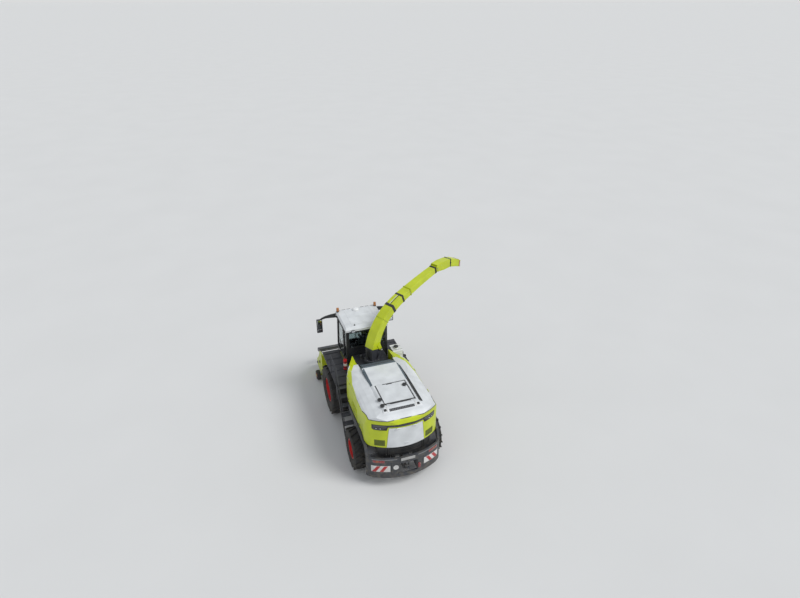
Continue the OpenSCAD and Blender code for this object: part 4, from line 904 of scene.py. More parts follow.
@dataclass
class Undercarriage(Assembly):
    """Axles, frame, steering gear, pipes and the engine."""

    rail_y: float = 0.42
    rail_w: float = 0.11

    def dress(self) -> None:
        """Dresses frame, axles, knuckles and engine."""
        dress("chassis_frame", FRAME_GREY, 0.004)
        dress("axles", AXLE_DARK, 0.006)
        dress("engine_block", ENGINE, 0.012)
        for side in Side:
            dress(f"knuckle_{side.word}", AXLE_DARK, 0.004)

    def build(self) -> None:
        """Adds pipes, bolts, steering gear and engine fittings."""
        self.add_pipes()
        self.add_bolts()
        self.add_steering()
        self.add_engine()
        self.add_hoses()

    def add_pipes(self) -> None:
        """Adds hydraulic pipes along the rails, with their clamps."""
        pipes, clamps = Former(), Former()
        for side in Side:
            for k, z in enumerate((1.27, 1.31, 1.35)):
                y = side.value * (self.rail_y - self.rail_w / 2 - 0.012)
                pipes.pipe([(-4.3, y, z), (-1.25 - 0.05 * k, y, z)], 0.009, 8)
            for x in (-4.2, -3.2, -2.2, -1.4):
                y = self.rail_y - self.rail_w / 2
                low = min(side.value * y, side.value * (y - 0.026))
                clamps.slab((x, low, 1.25), (x + 0.04, low + 0.026, 1.37), 0.004)
        pipes.piece("rail_pipes", STEEL)
        clamps.piece("rail_pipe_clamps", PLASTIC, 0.002)

    def add_bolts(self) -> None:
        """Adds the bolts of the rails, the axles and the hubs."""
        bolts = Former()
        for s in SIGNS:
            y = s * (self.rail_y + self.rail_w / 2)
            for x in (-4.62, -3.54, -2.44, -1.24):
                for z in (1.26, 1.36):
                    for dx in (-0.03, 0.03):
                        bolts.hexagon((x + dx, y, z), (0, s, 0), 0.017, 0.016)
            for a in circle_angles(14):
                bolts.hexagon((0.253 * math.cos(a), s * 0.879,
                               1.04 + 0.253 * math.sin(a)), (0, s, 0), 0.013, 0.014)
            for x in (-3.59, -3.41):
                bolts.hexagon((x, s * 0.2, 0.641), DOWN, 0.022, 0.02)
        bolts.piece("frame_bolts", ZINC)

    def add_steering(self) -> None:
        """Adds the steering cylinder, its boots and the kingpins' caps."""
        barrel, boots = Former(), Former()
        x, z = -3.675, 0.79
        barrel.turned([(-0.42, 0.045), (-0.4, 0.052), (0.4, 0.052), (0.42, 0.045)],
                      (x, 0, z), ACROSS, 28)
        for y in (-0.3, 0.3):
            barrel.slab((x, y - 0.03, z - 0.06), (-3.605, y + 0.03, z + 0.06), 0.006)
        barrel.piece("steering_barrel", AXLE_DARK, 0.003)
        for side in Side:
            boots.turned([(0.42 + i * 0.025, 0.042 if i % 2 else 0.03)
                          for i in range(13)], (x, 0, z), (0, side.value, 0), 20)
        boots.piece("steering_boots", SEAL)
        for side in Side:
            grease = Former()
            s = side.value
            for up in (1, -1):
                grease.turned([(0, 0.06), (0.012, 0.058), (0.016, 0.03), (0.03, 0.01),
                               (0.036, 0.006)], (-3.5, s, 0.79 + up * 0.161),
                              (0, 0, up), 24)
            grease.piece(f"kingpin_caps_{side.word}",
                         STEEL, body=f"steer_knuckle_{side.word}")

    def add_engine(self) -> None:
        """Adds rocker covers, oil filters and belt pulleys."""
        low, high = (p - MACHINE for p in map(Vector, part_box("engine_block")))
        covers, pots, belts = Former(), Former(), Former()
        mid = (low + high) / 2
        top = high.z
        length = high.x - low.x
        for y in (-0.28, 0.28):
            covers.slab((low.x + 0.12, mid.y + y - 0.11, top - 0.01),
                        (high.x - 0.12, mid.y + y + 0.11, top + 0.07), 0.025)
            for i in range(6):
                x = low.x + 0.2 + i * (length - 0.4) / 5
                covers.slab((x - 0.02, mid.y + y - 0.115, top - 0.01),
                            (x + 0.02, mid.y + y + 0.115, top + 0.076), 0.01)
        covers.piece("rocker_covers", SLATE, 0.006)
        for x in (low.x + 0.35, low.x + 0.55):
            pots.turned([(0, 0.05), (0.03, 0.062), (0.2, 0.062), (0.23, 0.05),
                         (0.235, 0.02)], (x, high.y - 0.005, mid.z - 0.1), ACROSS, 28)
        pots.piece("oil_filters", WHITE, 0.002, slot="black_plastic")
        for y, r in ((low.y - 0.02, 0.24), (low.y - 0.02, 0.12)):
            x = high.x - (0.35 if r > 0.2 else 0.85)
            belts.turned([(-0.05, r), (-0.045, r + 0.008), (-0.03, r - .01),
                          (-0.015, r + 0.008), (0.0, r - 0.01), (0.015, r + 0.008),
                          (0.02, r * 0.3)], (x, y, mid.z), ACROSS, 40)
        belts.piece("belt_pulleys", STEEL)

    def add_hoses(self) -> None:
        """Adds the wheel motors' hoses at the driven axle."""
        hoses = Former()
        for s in SIGNS:
            for k in range(3):
                x = -0.2 + 0.05 * k
                hoses.pipe([(x, s * 0.37, 1.26), (x, s * 0.44, 1.16),
                            (x + 0.05, s * 0.6, 1.21), (x + 0.1, s * 0.72, 1.24)],
                           0.014, 8, 0.06)
        hoses.piece("axle_hoses", SEAL)


@dataclass
class BodyShell(Assembly):
    """Lime side panels and flaps with seals, latches and louvres."""

    louvres: int = 6
    cover_low: float = 2.832
    paint: tuple[tuple[float, float, float], ...] = (
        (-1.304, 0.28, 0.178), (-1.7, 0.28, 0.04), (-2.05, 0.22, 0.0),
        (-2.4, 0.10, 0.0), (-2.7, 0.07, 0.0), (-3.2, 0.01, 0.0))

    def dress(self) -> None:
        """Dresses shell, flaps, skirts and deck."""
        dress("lime_panels", LIME, 0.03, 60, 22)
        dress("top_cover", WHITE, 0.045, 60, 18)
        dress("rear_skirts", SKIRT, 0.012, 40)
        dress("service_deck", DECK_DARK, 0.003)
        for side in Side:
            dress(f"side_flap_{side.word}", LIME, 0.003)

    def build(self) -> None:
        """Adds latches, seals and the flaps' louvre panels."""
        for side in Side:
            self.add_louvres(side)
            self.add_latches(side)
        self.add_seams()
        self.add_rear_seam()
        self.add_shoulders()
        self.add_skirt_edges()
        self.add_deck_plates()

    def add_louvres(self, side: Side) -> None:
        """Adds pressed lime louvres and one dark slit to a side flap."""
        skin, flap = Skin(f"side_flap_{side.word}"), f"flap_{side.word}"
        low, high = 2.22, 2.5
        slats = [patch(skin.beside, (-3.485, -2.765),
                       about(between(low, high, (i + 0.5) / self.louvres),
                             0.07 * (high - low)), side) for i in range(self.louvres)]
        lay(f"outlet_slats_{side.word}", LIME, slats, (18, 1),
            0.012, 0.002, 0.001, body=flap)
        lay(f"outlet_slit_{side.word}", PLASTIC,
            [patch(skin.beside, (-3.5, -2.95), (2.14, 2.165), side)],
            (14, 1), 0.003, body=flap)

    def add_latches(self, side: Side) -> None:
        """Adds two recessed handles to a side flap."""
        skin = Skin(f"side_flap_{side.word}")
        for word, z, wide, high, rows, proud, finish, bevel in (
                ("cups", 2.06, 0.16, 0.07, 3, 0.003, PLASTIC, 0.0),
                ("grips", 2.065, 0.12, 0.022, 2, 0.014, GLOSS_BLACK, 0.002)):
            lay(f"flap_{word}_{side.word}", finish,
                [patch(skin.beside, about(x, wide), about(z, high), side)
                 for x in (-2.15, -3.72)], (6, rows), proud, bevel=bevel,
                body=f"flap_{side.word}", slot="black_plastic")

    def add_seams(self) -> None:
        """Adds the seal between white cover and lime, and its screws."""
        skin, screws = Skin("lime_panels"), Former()
        lay("cover_seal", SEAL,
            [patch(skin.beside, (-1.36, -3.9), (2.815, 2.827), side) for side in Side],
            (40, 1), 0.003)
        for side in Side:
            for i in range(10):
                p, n = skin.beside(between(-1.45, -3.9, i / 9), 2.798, side)
                screws.turned([(-0.002, 0.011), (0.003, 0.011), (0.006, 0.007)],
                              p - MACHINE, n, 12)
        screws.piece("panel_screws", ZINC)

    def add_rear_seam(self) -> None:
        """Adds the dark seal between cover and lime round the rear."""
        skin, seal = Skin("lime_panels"), Former()
        path = [skin.rim(-3.9, 0.0, 2.94, 2.80, math.radians(3 * i))
                - MACHINE for i in range(-29, 30)]
        seal.pipe(path, 0.011, 8)
        seal.piece("rear_seal", SEAL)

    def taper(self, x: float, column: int = 1) -> float:
        """Returns the lime band's height, or its tuck, at a place."""
        for a, b in zip(self.paint, self.paint[1:]):
            if x >= b[0]:
                return between(a[column], b[column], (x - a[0]) / (b[0] - a[0]))
        return self.paint[-1][column]

    def tuck(self, x: float) -> float:
        """Returns how far the cover's foot lies inside 1.3 m."""
        return self.taper(x, 2)

    def add_shoulders(self) -> None:
        """Adds the lime paint on the cover's front shoulders."""
        skin = Skin("top_cover")
        for side in Side:
            paint = Former()

            def spot(u: float, v: float, side: Side = side) -> Hit:
                """Returns a point on the tapering lime band."""
                x = between(self.paint[0][0], self.paint[-1][0], u)
                low = self.cover_low + 0.7 * self.tuck(x)
                return skin.slanted(x, low + v * self.taper(x), side)
            paint.sheet(spot, 44, 6, 0.0025)
            paint.piece(f"shoulder_paint_{side.word}", LIME, 0.0, 50)

    def add_skirt_edges(self) -> None:
        """Adds a pale strip as a painted highlight on the bumper's top edge, and the
        seams of the bumper.
        """
        skin = Skin("rear_skirts")
        # Pale strip on the bumper's top edge: painted highlight.
        lay("skirt_edge_highlight", SKIRT_EDGE_HIGHLIGHT,
            [patch(skin.behind, (s * 0.40, s * 1.25), (1.285, 1.315)) for s in SIGNS],
            (24, 1), 0.005, bevel=0.001)
        lay("skirt_seams", SEAL,
            [patch(skin.behind, (s * 0.60, s * 0.614), (0.62, 1.16)) for s in SIGNS],
            (1, 12), 0.003)

    def add_deck_plates(self) -> None:
        """Adds raised studs on the deck round the spout."""
        studs = Former()
        for i in range(22):
            for j in range(34):
                x, y = -1.2 + i * 0.046, -0.64 + j * 0.0388
                if math.hypot(x + 0.85, y) >= 0.36:
                    turn = 0.6 if (i + j) % 2 else -0.6
                    studs.stud(x, y, 0.012 * math.cos(turn),
                               0.012 * math.sin(turn), 2.639, 2.6425)
        studs.piece("deck_studs", DECK_DARK)


@dataclass
class Hood(Assembly):
    """The white hood: hatch frame, vents, painted groove shade and intake screen."""

    hatch_front: float = -3.10
    hatch_rear: float = -4.33
    top: float = 3.15

    def dress(self) -> None:
        """Dresses the hatch and the intake screen."""
        dress("top_hatch", WHITE, 0.006)
        dress("intake_grille", SCREEN, 0.002)

    def build(self) -> None:
        """Adds rails, vents, slots, painted groove shade and the screen's mesh."""
        self.add_rails()
        self.add_vents()
        self.add_slots()
        self.add_mesh()
        self.add_groove_shade_and_rail()

    def add_rails(self) -> None:
        """Adds the dark edging of the hatch and the bar behind it."""
        rails, ends = Former(), Former()
        x0, x1 = self.hatch_rear + 0.03, self.hatch_front - 0.03
        z = self.top
        for y in (-0.565, 0.565):
            rails.slab((x0, y - 0.016, z - 0.004), (x1, y + 0.016, z + 0.012), 0.005)
        rails.slab((x1 - 0.03, -0.55, z - 0.004), (x1, 0.3, z + 0.010), 0.004)
        rails.slab((x1 - 0.06, -0.06, z - 0.004), (x1 - 0.02, 0.16, z + 0.028), 0.008)
        rails.slab((x0 - 0.02, -0.55, z - 0.004), (x0 + 0.055, 0.55, z + 0.026), 0.008)
        rails.piece("hatch_rails", PLASTIC, 0.002, body="hatch")
        for y in (-0.565, 0.565):
            for x in (x0 + 0.12, (x0 + x1) / 2, x1 - 0.1):
                ends.turned([(0, 0.012), (0.01, 0.012), (0.014, 0.007)],
                            (x, y, z + 0.011), UP, 16)
        ends.piece("hatch_rail_screws", STEEL, body="hatch")

    def add_vents(self) -> None:
        """Adds the three round black fittings round the hatch."""
        skin = Skin("top_cover")
        vents, hatch_vents = Former(), Former()
        cap = [(-0.03, 0.05), (0.012, 0.05), (0.014, 0.078), (0.05, 0.08),
               (0.064, 0.07), (0.07, 0.045), (0.064, 0.04), (0.064, 0.022),
               (0.076, 0.02), (0.078, 0.0)]
        for x, y in ((-3.98, 0.66), (-4.32, 0.67)):
            p = skin.above(x, y)[0] - MACHINE
            vents.turned(cap, p, (0, 0.1, 1), 32)
        hatch_vents.turned(cap, (-3.42, -0.46, self.top), UP, 32)
        vents.piece("hood_vents", PLASTIC, 0.002)
        hatch_vents.piece("hatch_vent", PLASTIC, 0.002, body="hatch")

    def add_slots(self) -> None:
        """Adds the slotted strip, its straps and latches on the tail."""
        skin, latch = Skin("top_cover"), Former()
        lay("tail_strip", PLASTIC, [patch(skin.across, (-0.44, 0.49), (-4.60, -4.515))],
            (12, 2), 0.004)
        lay("tail_strip_bars", TRIM_GREY,
            [patch(skin.across, about(-0.40 + i * 0.061, 0.02), (-4.59, -4.525))
             for i in range(15)], (1, 3), 0.010, 0.003)
        lay("tail_straps", SIGN_WHITE,
            [patch(skin.above, (-4.61, -4.40), about(y, 0.03)) for y in (0.55, -0.50)],
            (6, 1), 0.014, bevel=0.003)
        for y in (0.635, -0.59):
            p = skin.above(-4.53, y)[0] - MACHINE
            latch.slab((p[0] - 0.05, y - 0.045, p[2] - 0.02),
                       (p[0] + 0.05, y + 0.045, p[2] + 0.022), 0.01)
        latch.piece("hood_latches", PLASTIC, 0.004)

    def add_mesh(self) -> None:
        """Adds the fine wires of the slanted intake screen."""
        wires, rim = Former(), Former()
        foot, head = Vector((-1.25, 0, 2.848)), Vector((-1.845, 0, 3.165))
        run = head - foot
        up = Vector((-run.z, 0, run.x)).normalized() * -1
        for i in range(31):
            p = foot + run * (0.02 + 0.93 * i / 30)
            a, b = p + Vector((0, -0.6, 0)), p + Vector((0, 0.6, 0))
            wires.pipe([a, b], 0.0022, 4)
        for j in range(58):
            y = -0.6 + 1.2 * j / 57
            a = foot + run * 0.02 + Vector((0, y, 0))
            b = foot + run * 0.95 + Vector((0, y, 0))
            wires.pipe([a, b], 0.0022, 4)
        wires.piece("screen_wires", SLATE, slot="screen_grey")
        for y in (-0.62, -0.2, 0.2, 0.62):
            for t in (0.04, 0.93):
                p = foot + run * t + Vector((0, y, 0))
                rim.turned([(-0.004, 0.014), (0.006, 0.014), (0.01, 0.008)], p, up, 12)
        rim.piece("screen_knobs", PLASTIC)

    def add_groove_shade_and_rail(self) -> None:
        """Adds painted groove shade and the rail along the hood's right."""
        skin = Skin("top_cover")
        rail, feet = Former(), Former()
        # Dark sheet on the cover beside the hood's right flank: painted shade of the
        # groove there.
        lay("hood_groove_painted_shade", SEAL,
            [patch(skin.above, (-4.42, -1.93), (-0.80, -0.728))], (44, 2), 0.004)
        path = []
        for i in range(16):
            x = -3.06 - i * 0.09
            p = skin.above(x, -0.69)[0] - MACHINE
            path.append((x, -0.69, p[2] + 0.03))
            if i % 3 == 0:
                feet.turned([(-0.004, 0.03), (0.01, 0.03), (0.014, 0.014),
                             (0.034, 0.013)], p, UP, 16)
        rail.pipe(path, 0.017, 10)
        rail.piece("hood_rail", PLASTIC)
        feet.piece("hood_rail_feet", STEEL)


@dataclass
class Tail(Assembly):
    """The tail: lamp band, door, grille, lamps, plates and hitch."""

    band_low: float = 2.49
    band_middle: float = 2.63
    band_high: float = 2.73

    def dress(self) -> None:
        """Dresses tail panel, band, grille and hitch."""
        dress("tail_panel", WHITE, 0.004)
        dress("tail_grille", PLASTIC, 0.003)
        dress("hitch", FRAME_GREY, 0.004)
        dress("body_frame", FRAME_GREY, 0.003)

    def build(self) -> None:
        """Adds every fitting of the tail."""
        self.add_band()
        self.add_door_trim()
        self.add_grille_rods()
        self.add_tail_lamps()
        self.add_warning_plates()
        self.add_number_plate()
        self.add_hitch()
        self.add_corner_vents()

    def add_band(self) -> None:
        """Adds lenses with lamp spots and the gloss strip between."""
        skin = Skin("tail_grille")
        for side in Side:
            s = side.value
            glass, spots, rims = Former(), Former(), Former()

            def lens(u: float, v: float) -> Hit:
                """Returns a point on the clear cover of a lamp end."""
                drop = min(u * 2.2, 1.0)
                lift = max(u - 0.86, 0.0) * 0.42
                low = between(self.band_middle + 0.012,
                              self.band_low + 0.014, drop) + lift
                return skin.behind(s * between(0.665, 1.14, u),
                                   between(low, self.band_high - 0.014, v))
            glass.sheet(lens, 18, 5, 0.009)
            glass.piece(f"band_lens_{side.word}", GLOSS_BLACK, 0.003)
            for y in (0.90, 1.03):
                p, n = skin.behind(s * y, 2.565)
                p = p - MACHINE
                rims.turned([(0.004, 0.042), (0.014, 0.044), (0.02, 0.039),
                             (0.014, 0.034), (0.010, 0.032)], p, n, 28)
                spots.turned([(0.008, 0.022), (0.014, 0.02),
                              (0.02, 0.012), (0.021, 0.0)], p, n, 20)
            rims.piece(f"band_rims_{side.word}", AXLE_DARK, slot="lamp_plastic")
            spots.piece(f"band_lamps_{side.word}", CLEAR_LENS)
            lay(f"band_bar_{side.word}", TRIM_GREY,
                [patch(skin.behind, (s * 0.72, s * 1.1), (2.665, 2.69))],
                (12, 1), 0.014, bevel=0.002, slot="lamp_plastic")
        lay("band_strip", GLOSS_BLACK,
            [patch(skin.behind, (-0.64, 0.64), (2.619, 2.712))], (20, 3),
            0.006, bevel=0.002)

    def add_door_trim(self) -> None:
        """Adds the tail panel's press lines, grip and hinge barrels."""
        skin, grip, barrels = Skin("tail_panel"), Former(), Former()
        lay("tail_lines", WHITE,
            [patch(skin.behind, (-y, y), (z, z + 0.008))
             for y, z in ((0.6, 1.80), (0.54, 2.50))], (16, 1), 0.0035,
            bevel=0.001, body="tail")
        grip.sheet(patch(skin.behind, (-0.09, 0.09), (1.85, 1.93)), 6, 3, 0.005)
        grip.sheet(patch(skin.behind, (-0.075, 0.075), (1.882, 1.906)), 6, 2, 0.022)
        grip.piece("tail_grip", WHITE, 0.002, body="tail")
        for y in (-0.3, 0.3):
            barrels.turned([(-0.082, 0.016), (-0.078, 0.02), (0.078, 0.02),
                            (0.082, 0.016)], (-5.002, y, 2.596), ACROSS, 24)
        barrels.piece("tail_hinge_barrels", WHITE, body="tail")

    def add_grille_rods(self) -> None:
        """Adds bolts on the posts and two cross rods on the grille."""
        skin, rods, bolts = Skin("tail_grille"), Former(), Former()
        for y in (-0.712, -0.642, 0.642, 0.712):
            for z in (1.41, 1.68):
                p, n = skin.behind(y, z)
                bolts.hexagon(p - MACHINE + n * 0.003, n, 0.009, 0.008)
        bolts.piece("post_bolts", ZINC)
        for z in (1.46, 1.63):
            path = []
            for i in range(13):
                y = -0.6 + i * 0.1
                p, n = skin.behind(y, z)
                path.append(p - MACHINE + n * 0.02)
            reach = min(p[0] for p in path)
            path = [(max(p[0], reach - 0.1), p[1], z) for p in path]
            rods.pipe(path, 0.007, 8)
        rods.piece("grille_rods", PLASTIC)

    def add_tail_lamps(self) -> None:
        """Adds the red and amber lenses of the tail lamps."""
        skin = Skin("lamps")
        for side in Side:
            s = side.value
            for y0, y1, finish, word in ((0.84, 1.03, RED_LENS, "red"),
                                         (1.035, 1.13, AMBER_DARK, "amber"),
                                         (1.135, 1.22, RED_LENS, "outer")):
                lay(f"lens_{word}_{side.word}", finish,
                    [patch(skin.behind, (s * y0, s * y1), (1.18, 1.28))], (6, 3), 0.01,
                    bevel=0.004, slot="lamp_plastic")
        dress("lamps", LAMP_CASE, 0.004)

    def add_warning_plates(self) -> None:
        """Adds the red and white striped plates on the bumper."""
        skin = Skin("rear_skirts")
        y0, y1, z0, z1 = 0.64, 1.27, 0.745, 1.02
        for side in Side:
            s = side.value
            lay(f"warning_plate_{side.word}", SIGN_WHITE,
                [patch(skin.behind, (s * y0, s * y1), (z0, z1))], (14, 4), 0.008,
                bevel=0.002)
            bars = Former()
            for start in (0.12, 0.52):
                def bar(u: float, v: float, start: float = start) -> Hit:
                    """Returns a point on one slanted red bar."""
                    share = start + 0.2 * u + 0.26 * (1 - v)
                    y = between(y0 + 0.01, y1 - 0.01, min(share, 1.0))
                    return skin.behind(s * y, between(z0 + 0.008, z1 - 0.008, v))
                bars.sheet(bar, 4, 6, 0.0105, 0.0)
            bars.piece(f"warning_bars_{side.word}", SIGN_RED)

    def add_number_plate(self) -> None:
        """Adds the blank number plate, its frame and its lamp."""
        plate, holder = Former(), Former()
        x = -5.16
        holder.slab((x + 0.018, -0.285, 1.2), (x + 0.045, 0.285, 1.345), 0.004)
        for y in (-0.2, 0.2):
            holder.slab((x + 0.03, y - 0.02, 1.21), (-5.08, y + 0.02, 1.3), 0.003)
        plate.slab((x + 0.012, -0.27, 1.21), (x + 0.02, 0.27, 1.335), 0.002)
        holder.piece("number_plate_holder", PLASTIC, 0.002)
        plate.piece("number_plate", PLATE_PALE, 0.001)
        lamp = Former()
        lamp.slab((x, -0.06, 1.166), (x + 0.06, 0.06, 1.194), 0.008)
        lamp.piece("number_plate_lamp", PLASTIC, 0.003)

    def add_hitch(self) -> None:
        """Adds pin, sockets, couplers, the white disc and the wedge holder."""
        pin, sockets = Former(), Former()
        pin.turned([(-0.11, 0.011), (-0.1, 0.0152), (0.1, 0.0152), (0.1, 0.03),
                    (0.112, 0.03), (0.112, 0.012), (0.15, 0.012)], (-5.02, 0, 0.78), UP,
                   24)
        pin.pipe([(-5.02, -0.05, 0.945), (-5.02, 0.05, 0.945)], 0.011, 12)
        pin.piece("hitch_pin", STEEL, 0.001)
        sockets.turned([(0, 0.045), (0.01, 0.05), (0.06, 0.048), (0.065, 0.038),
                        (0.075, 0.036)], (-4.965, -0.075, 1.08), BACKWARD, 24)
        sockets.slab((-4.985, -0.125, 1.025), (-4.955, -0.025, 1.135), 0.006)
        sockets.piece("trailer_socket", PLASTIC, 0.002)
        for y, finish, word in ((0.05, RED, "supply"), (0.095, AMBER_LENS, "brake")):
            head = Former()
            head.turned([(0, 0.02), (0.03, 0.022), (0.045, 0.03), (0.07, 0.03),
                         (0.075, 0.02)], (-4.965, y, 1.09), BACKWARD, 20)
            head.piece(f"air_coupling_{word}", finish, 0.001, slot="red")
        skin = Skin("rear_skirts")
        disc, block = Former(), Former()
        p, n = skin.behind(0.44, 0.93)
        disc.turned([(-0.004, 0.1), (0.006, 0.1), (0.01, 0.092),
                     (0.007, 0.085), (0.007, 0.0)], p - MACHINE, n, 36)
        disc.piece("white_disc", SIGN_WHITE, 0.001)
        p, n = skin.behind(-0.44, 0.8)
        q = p - MACHINE
        block.slab((q.x - 0.05, q.y - 0.045, 0.7), (q.x + 0.02, q.y + 0.045, 0.9),
                   0.012)
        block.piece("wedge_holder", RED_LENS, 0.004)

    def add_corner_vents(self) -> None:
        """Adds the slotted panels at the lime shell's low corners, darkened as painted
        shade.
        """
        skin, low, high = Skin("lime_panels"), 1.80, 2.06
        for side in Side:
            s = side.value
            # Back and slats both take the darkened lime: painted shade of the recess.
            lay(f"corner_vent_{side.word}", LIME_PAINTED_SHADE,
                [patch(skin.behind, (s * 0.76, s * 1.1), (low, high))], (8, 5), 0.004)
            lay(f"corner_slats_{side.word}", LIME_PAINTED_SHADE,
                [patch(skin.behind, (s * 0.7702, s * 1.0898),
                       about(between(low, high, (i + 0.5) / 6), 0.1 * (high - low)))
                 for i in range(6)], (8, 1), 0.012, 0.002, 0.001)


@dataclass
class Cab(Assembly):
    """The cab's shell: seals, wipers, handle, lamps and mirrors."""

    half_w: float = 0.872
    screen_foot: float = 1.585

    def dress(self) -> None:
        """Dresses cab, roof, door, glass and mirrors."""
        dress("cab_frame", CAB_BLACK, 0.006)
        dress("cab_door", CAB_BLACK, 0.004)
        dress("cab_roof", WHITE, 0.02, 40)
        dress("cab_glass", GLASS)
        dress("door_glass", GLASS)
        dress("mirrors", PLASTIC, 0.012)

    def build(self) -> None:
        """Adds the fittings outside the cab."""
        self.add_seals()
        self.add_wipers()
        self.add_roof_trim()
        self.add_lamps()
        self.add_beacons()
        self.add_mirror_faces()
        self.add_handle()

    def screen_x(self, z: float) -> float:
        """Returns the windscreen frame's front face at a height."""
        return self.screen_foot - 0.18 * (z - 2.29) / 1.5

    def add_seals(self) -> None:
        """Adds rubber seals round the windows."""
        seals, door = Former(), Former()
        z0, z1 = 2.34, 3.72
        loop = [(self.screen_x(z0) + 0.002, -0.77, z0),
                (self.screen_x(z1) + 0.002, -0.77, z1),
                (self.screen_x(z1) + 0.002, 0.77, z1),
                (self.screen_x(z0) + 0.002, 0.77, z0)]
        rear = [(-0.172, -0.76, 3.03), (-0.172, -0.76, 3.72),
                (-0.172, 0.76, 3.72), (-0.172, 0.76, 3.03)]
        seals.border(loop, 0.011)
        seals.border(rear, 0.011)
        for s in SIGNS:
            y = s * self.half_w
            seals.border([(-0.08, y, 2.45), (0.26, y, 2.45), (0.26, y, 3.72),
                          (-0.08, y, 3.72)], 0.009)
        pane = [(0.405, 2.24), (1.355, 2.24), (self.screen_x(2.35) - 0.15, 2.35),
                (self.screen_x(3.72) - 0.15, 3.67), (0.405, 3.67)]
        for form, y in ((seals, -self.half_w), (door, self.half_w)):
            form.border([(x, y, z) for x, z in pane], 0.009)
        seals.piece("window_seals", SEAL)
        door.piece("door_seal", SEAL, body="door")

    def add_wipers(self) -> None:
        """Adds the front and the rear wiper."""
        arm = Former()
        x = self.screen_x(2.33)
        arm.turned([(0, 0.03), (0.03, 0.028), (0.04, 0.018)],
                   (x - 0.004, 0.1, 2.31), (1, 0, 0.1), 20)
        tip = (self.screen_x(3.15) - 0.01, -0.5, 3.15)
        arm.pipe([(x + 0.03, 0.1, 2.31), (x - 0.01, -0.1, 2.6), tip], 0.008, 8, 0.05)
        blade = [(self.screen_x(z) - 0.014, y, z)
                 for y, z in ((-0.62, 2.72), (-0.5, 3.15), (-0.38, 3.58))]
        arm.pipe(blade, 0.007, 6)
        arm.turned([(0, 0.025), (0.025, 0.024), (0.032, 0.014)],
                   (-0.168, 0.0, 3.75), BACKWARD, 20)
        arm.pipe([(-0.195, 0, 3.75), (-0.19, 0.2, 3.52)], 0.006, 8)
        arm.pipe([(-0.176, -0.03, 3.42), (-0.176, 0.42, 3.62)], 0.006, 6)
        arm.piece("wipers", PLASTIC)

    def add_roof_trim(self) -> None:
        """Adds gutters, beads, dome and aerials on the roof."""
        skin, trim = Skin("cab_roof"), Former()
        for side in Side:
            y = side.value * 0.896
            low, high = sorted((y, y + side.value * 0.006))
            trim.plate([(-0.17, 3.8), (1.52, 3.8), (1.515, 3.822), (-0.17, 3.822)], "y",
                       low, high)
        trim.piece("roof_gutters", PLASTIC, 0.001)
        beads = [patch(skin.above, (0.0, 1.35), about(y, 0.02)) for y in (-0.55, 0.55)]
        beads += [patch(skin.across, (-0.55, 0.55), about(x, 0.02))
                  for x in (0.1, 0.75)]
        lay("roof_beads", WHITE, beads, (12, 1), 0.006, bevel=0.001)
        dome, aerial = Former(), Former()
        dome.turned([(0.0, 0.14), (0.05, 0.138), (0.085, 0.115), (0.105, 0.07),
                     (0.112, 0.0)], (1.3, 0.06, 3.92), UP, 40)
        dome.piece("receiver_dome", DOME_WHITE, 0.002)
        for y in (-0.4, 0.45):
            p = skin.above(0.05, y)[0] - MACHINE
            aerial.turned([(-0.004, 0.03), (0.02, 0.028), (0.03, 0.012), (0.07, 0.008),
                           (0.075, 0.0)], p, (-0.1, 0, 1), 20)
        aerial.piece("roof_aerials", PLASTIC)

    def add_lamps(self) -> None:
        """Adds work lamps along the roof's front and rear edges."""
        cases, lenses = Former(), Former()
        for y in (-0.74, -0.52, -0.3, 0.3, 0.52, 0.74):
            cases.slab((1.54, y - 0.083, 3.795), (1.628, y + 0.083, 3.853), 0.012)
            lenses.slab((1.626, y - 0.07, 3.803), (1.634, y + 0.07, 3.845), 0.004)
        for y in (-0.6, 0.6):
            cases.pipe([(-0.16, y, 3.83), (-0.235, y, 3.83)], 0.012, 8)
            cases.slab((-0.285, y - 0.075, 3.79), (-0.225, y + 0.075, 3.88), 0.014)
            lenses.slab((-0.291, y - 0.06, 3.803), (-0.283, y + 0.06, 3.868), 0.004)
        cases.piece("work_lamp_cases", PLASTIC, 0.004)
        lenses.piece("work_lamp_lenses", CLEAR_LENS, 0.001)

    def add_beacons(self) -> None:
        """Adds the amber domes over the beacons' posts."""
        domes, feet = Former(), Former()
        for side in Side:
            spot = (1.4, side.value * 0.82, 3.925)
            feet.turned([(-0.02, 0.062), (0.03, 0.064), (0.036, 0.06)], spot, UP, 28)
            domes.turned([(0.034, 0.0605), (0.13, 0.0595), (0.166, 0.056),
                          (0.176, 0.03), (0.178, 0.0)], spot, UP, 32)
        feet.piece("beacon_feet", PLASTIC, 0.001)
        domes.piece("beacon_domes", AMBER_LENS)

    def add_mirror_faces(self) -> None:
        """Adds reflecting faces, arm covers and clamps."""
        faces, clamps, arms = Former(), Former(), Former()
        for s in SIGNS:
            arms.loft([[(x + d, s * y, z) for d, z in
                        ((-0.032, low), (0.032, low), (0.026, high),
                         (-0.026, high))]
                       for x, y, low, high in
                       ((1.42, 0.91, 3.66, 3.85), (1.5, 1.1, 3.63, 3.79),
                        (1.585, 1.33, 3.60, 3.70),
                        (1.608, 1.53, 3.545, 3.61))])
            for z0, z1 in ((3.12, 3.53), (2.96, 3.09)):
                low, high = sorted((s * 1.505, s * 1.695))
                faces.slab((1.574, low, z0), (1.584, high, z1), 0.008)
            low, high = sorted((s * 1.56, s * 1.64))
            clamps.slab((1.6, low, 3.2), (1.672, high, 3.3), 0.01)
        faces.piece("mirror_faces", MIRROR, 0.002)
        arms.piece("mirror_arms", PLASTIC, 0.008)
        clamps.piece("mirror_clamps", PLASTIC, 0.003)

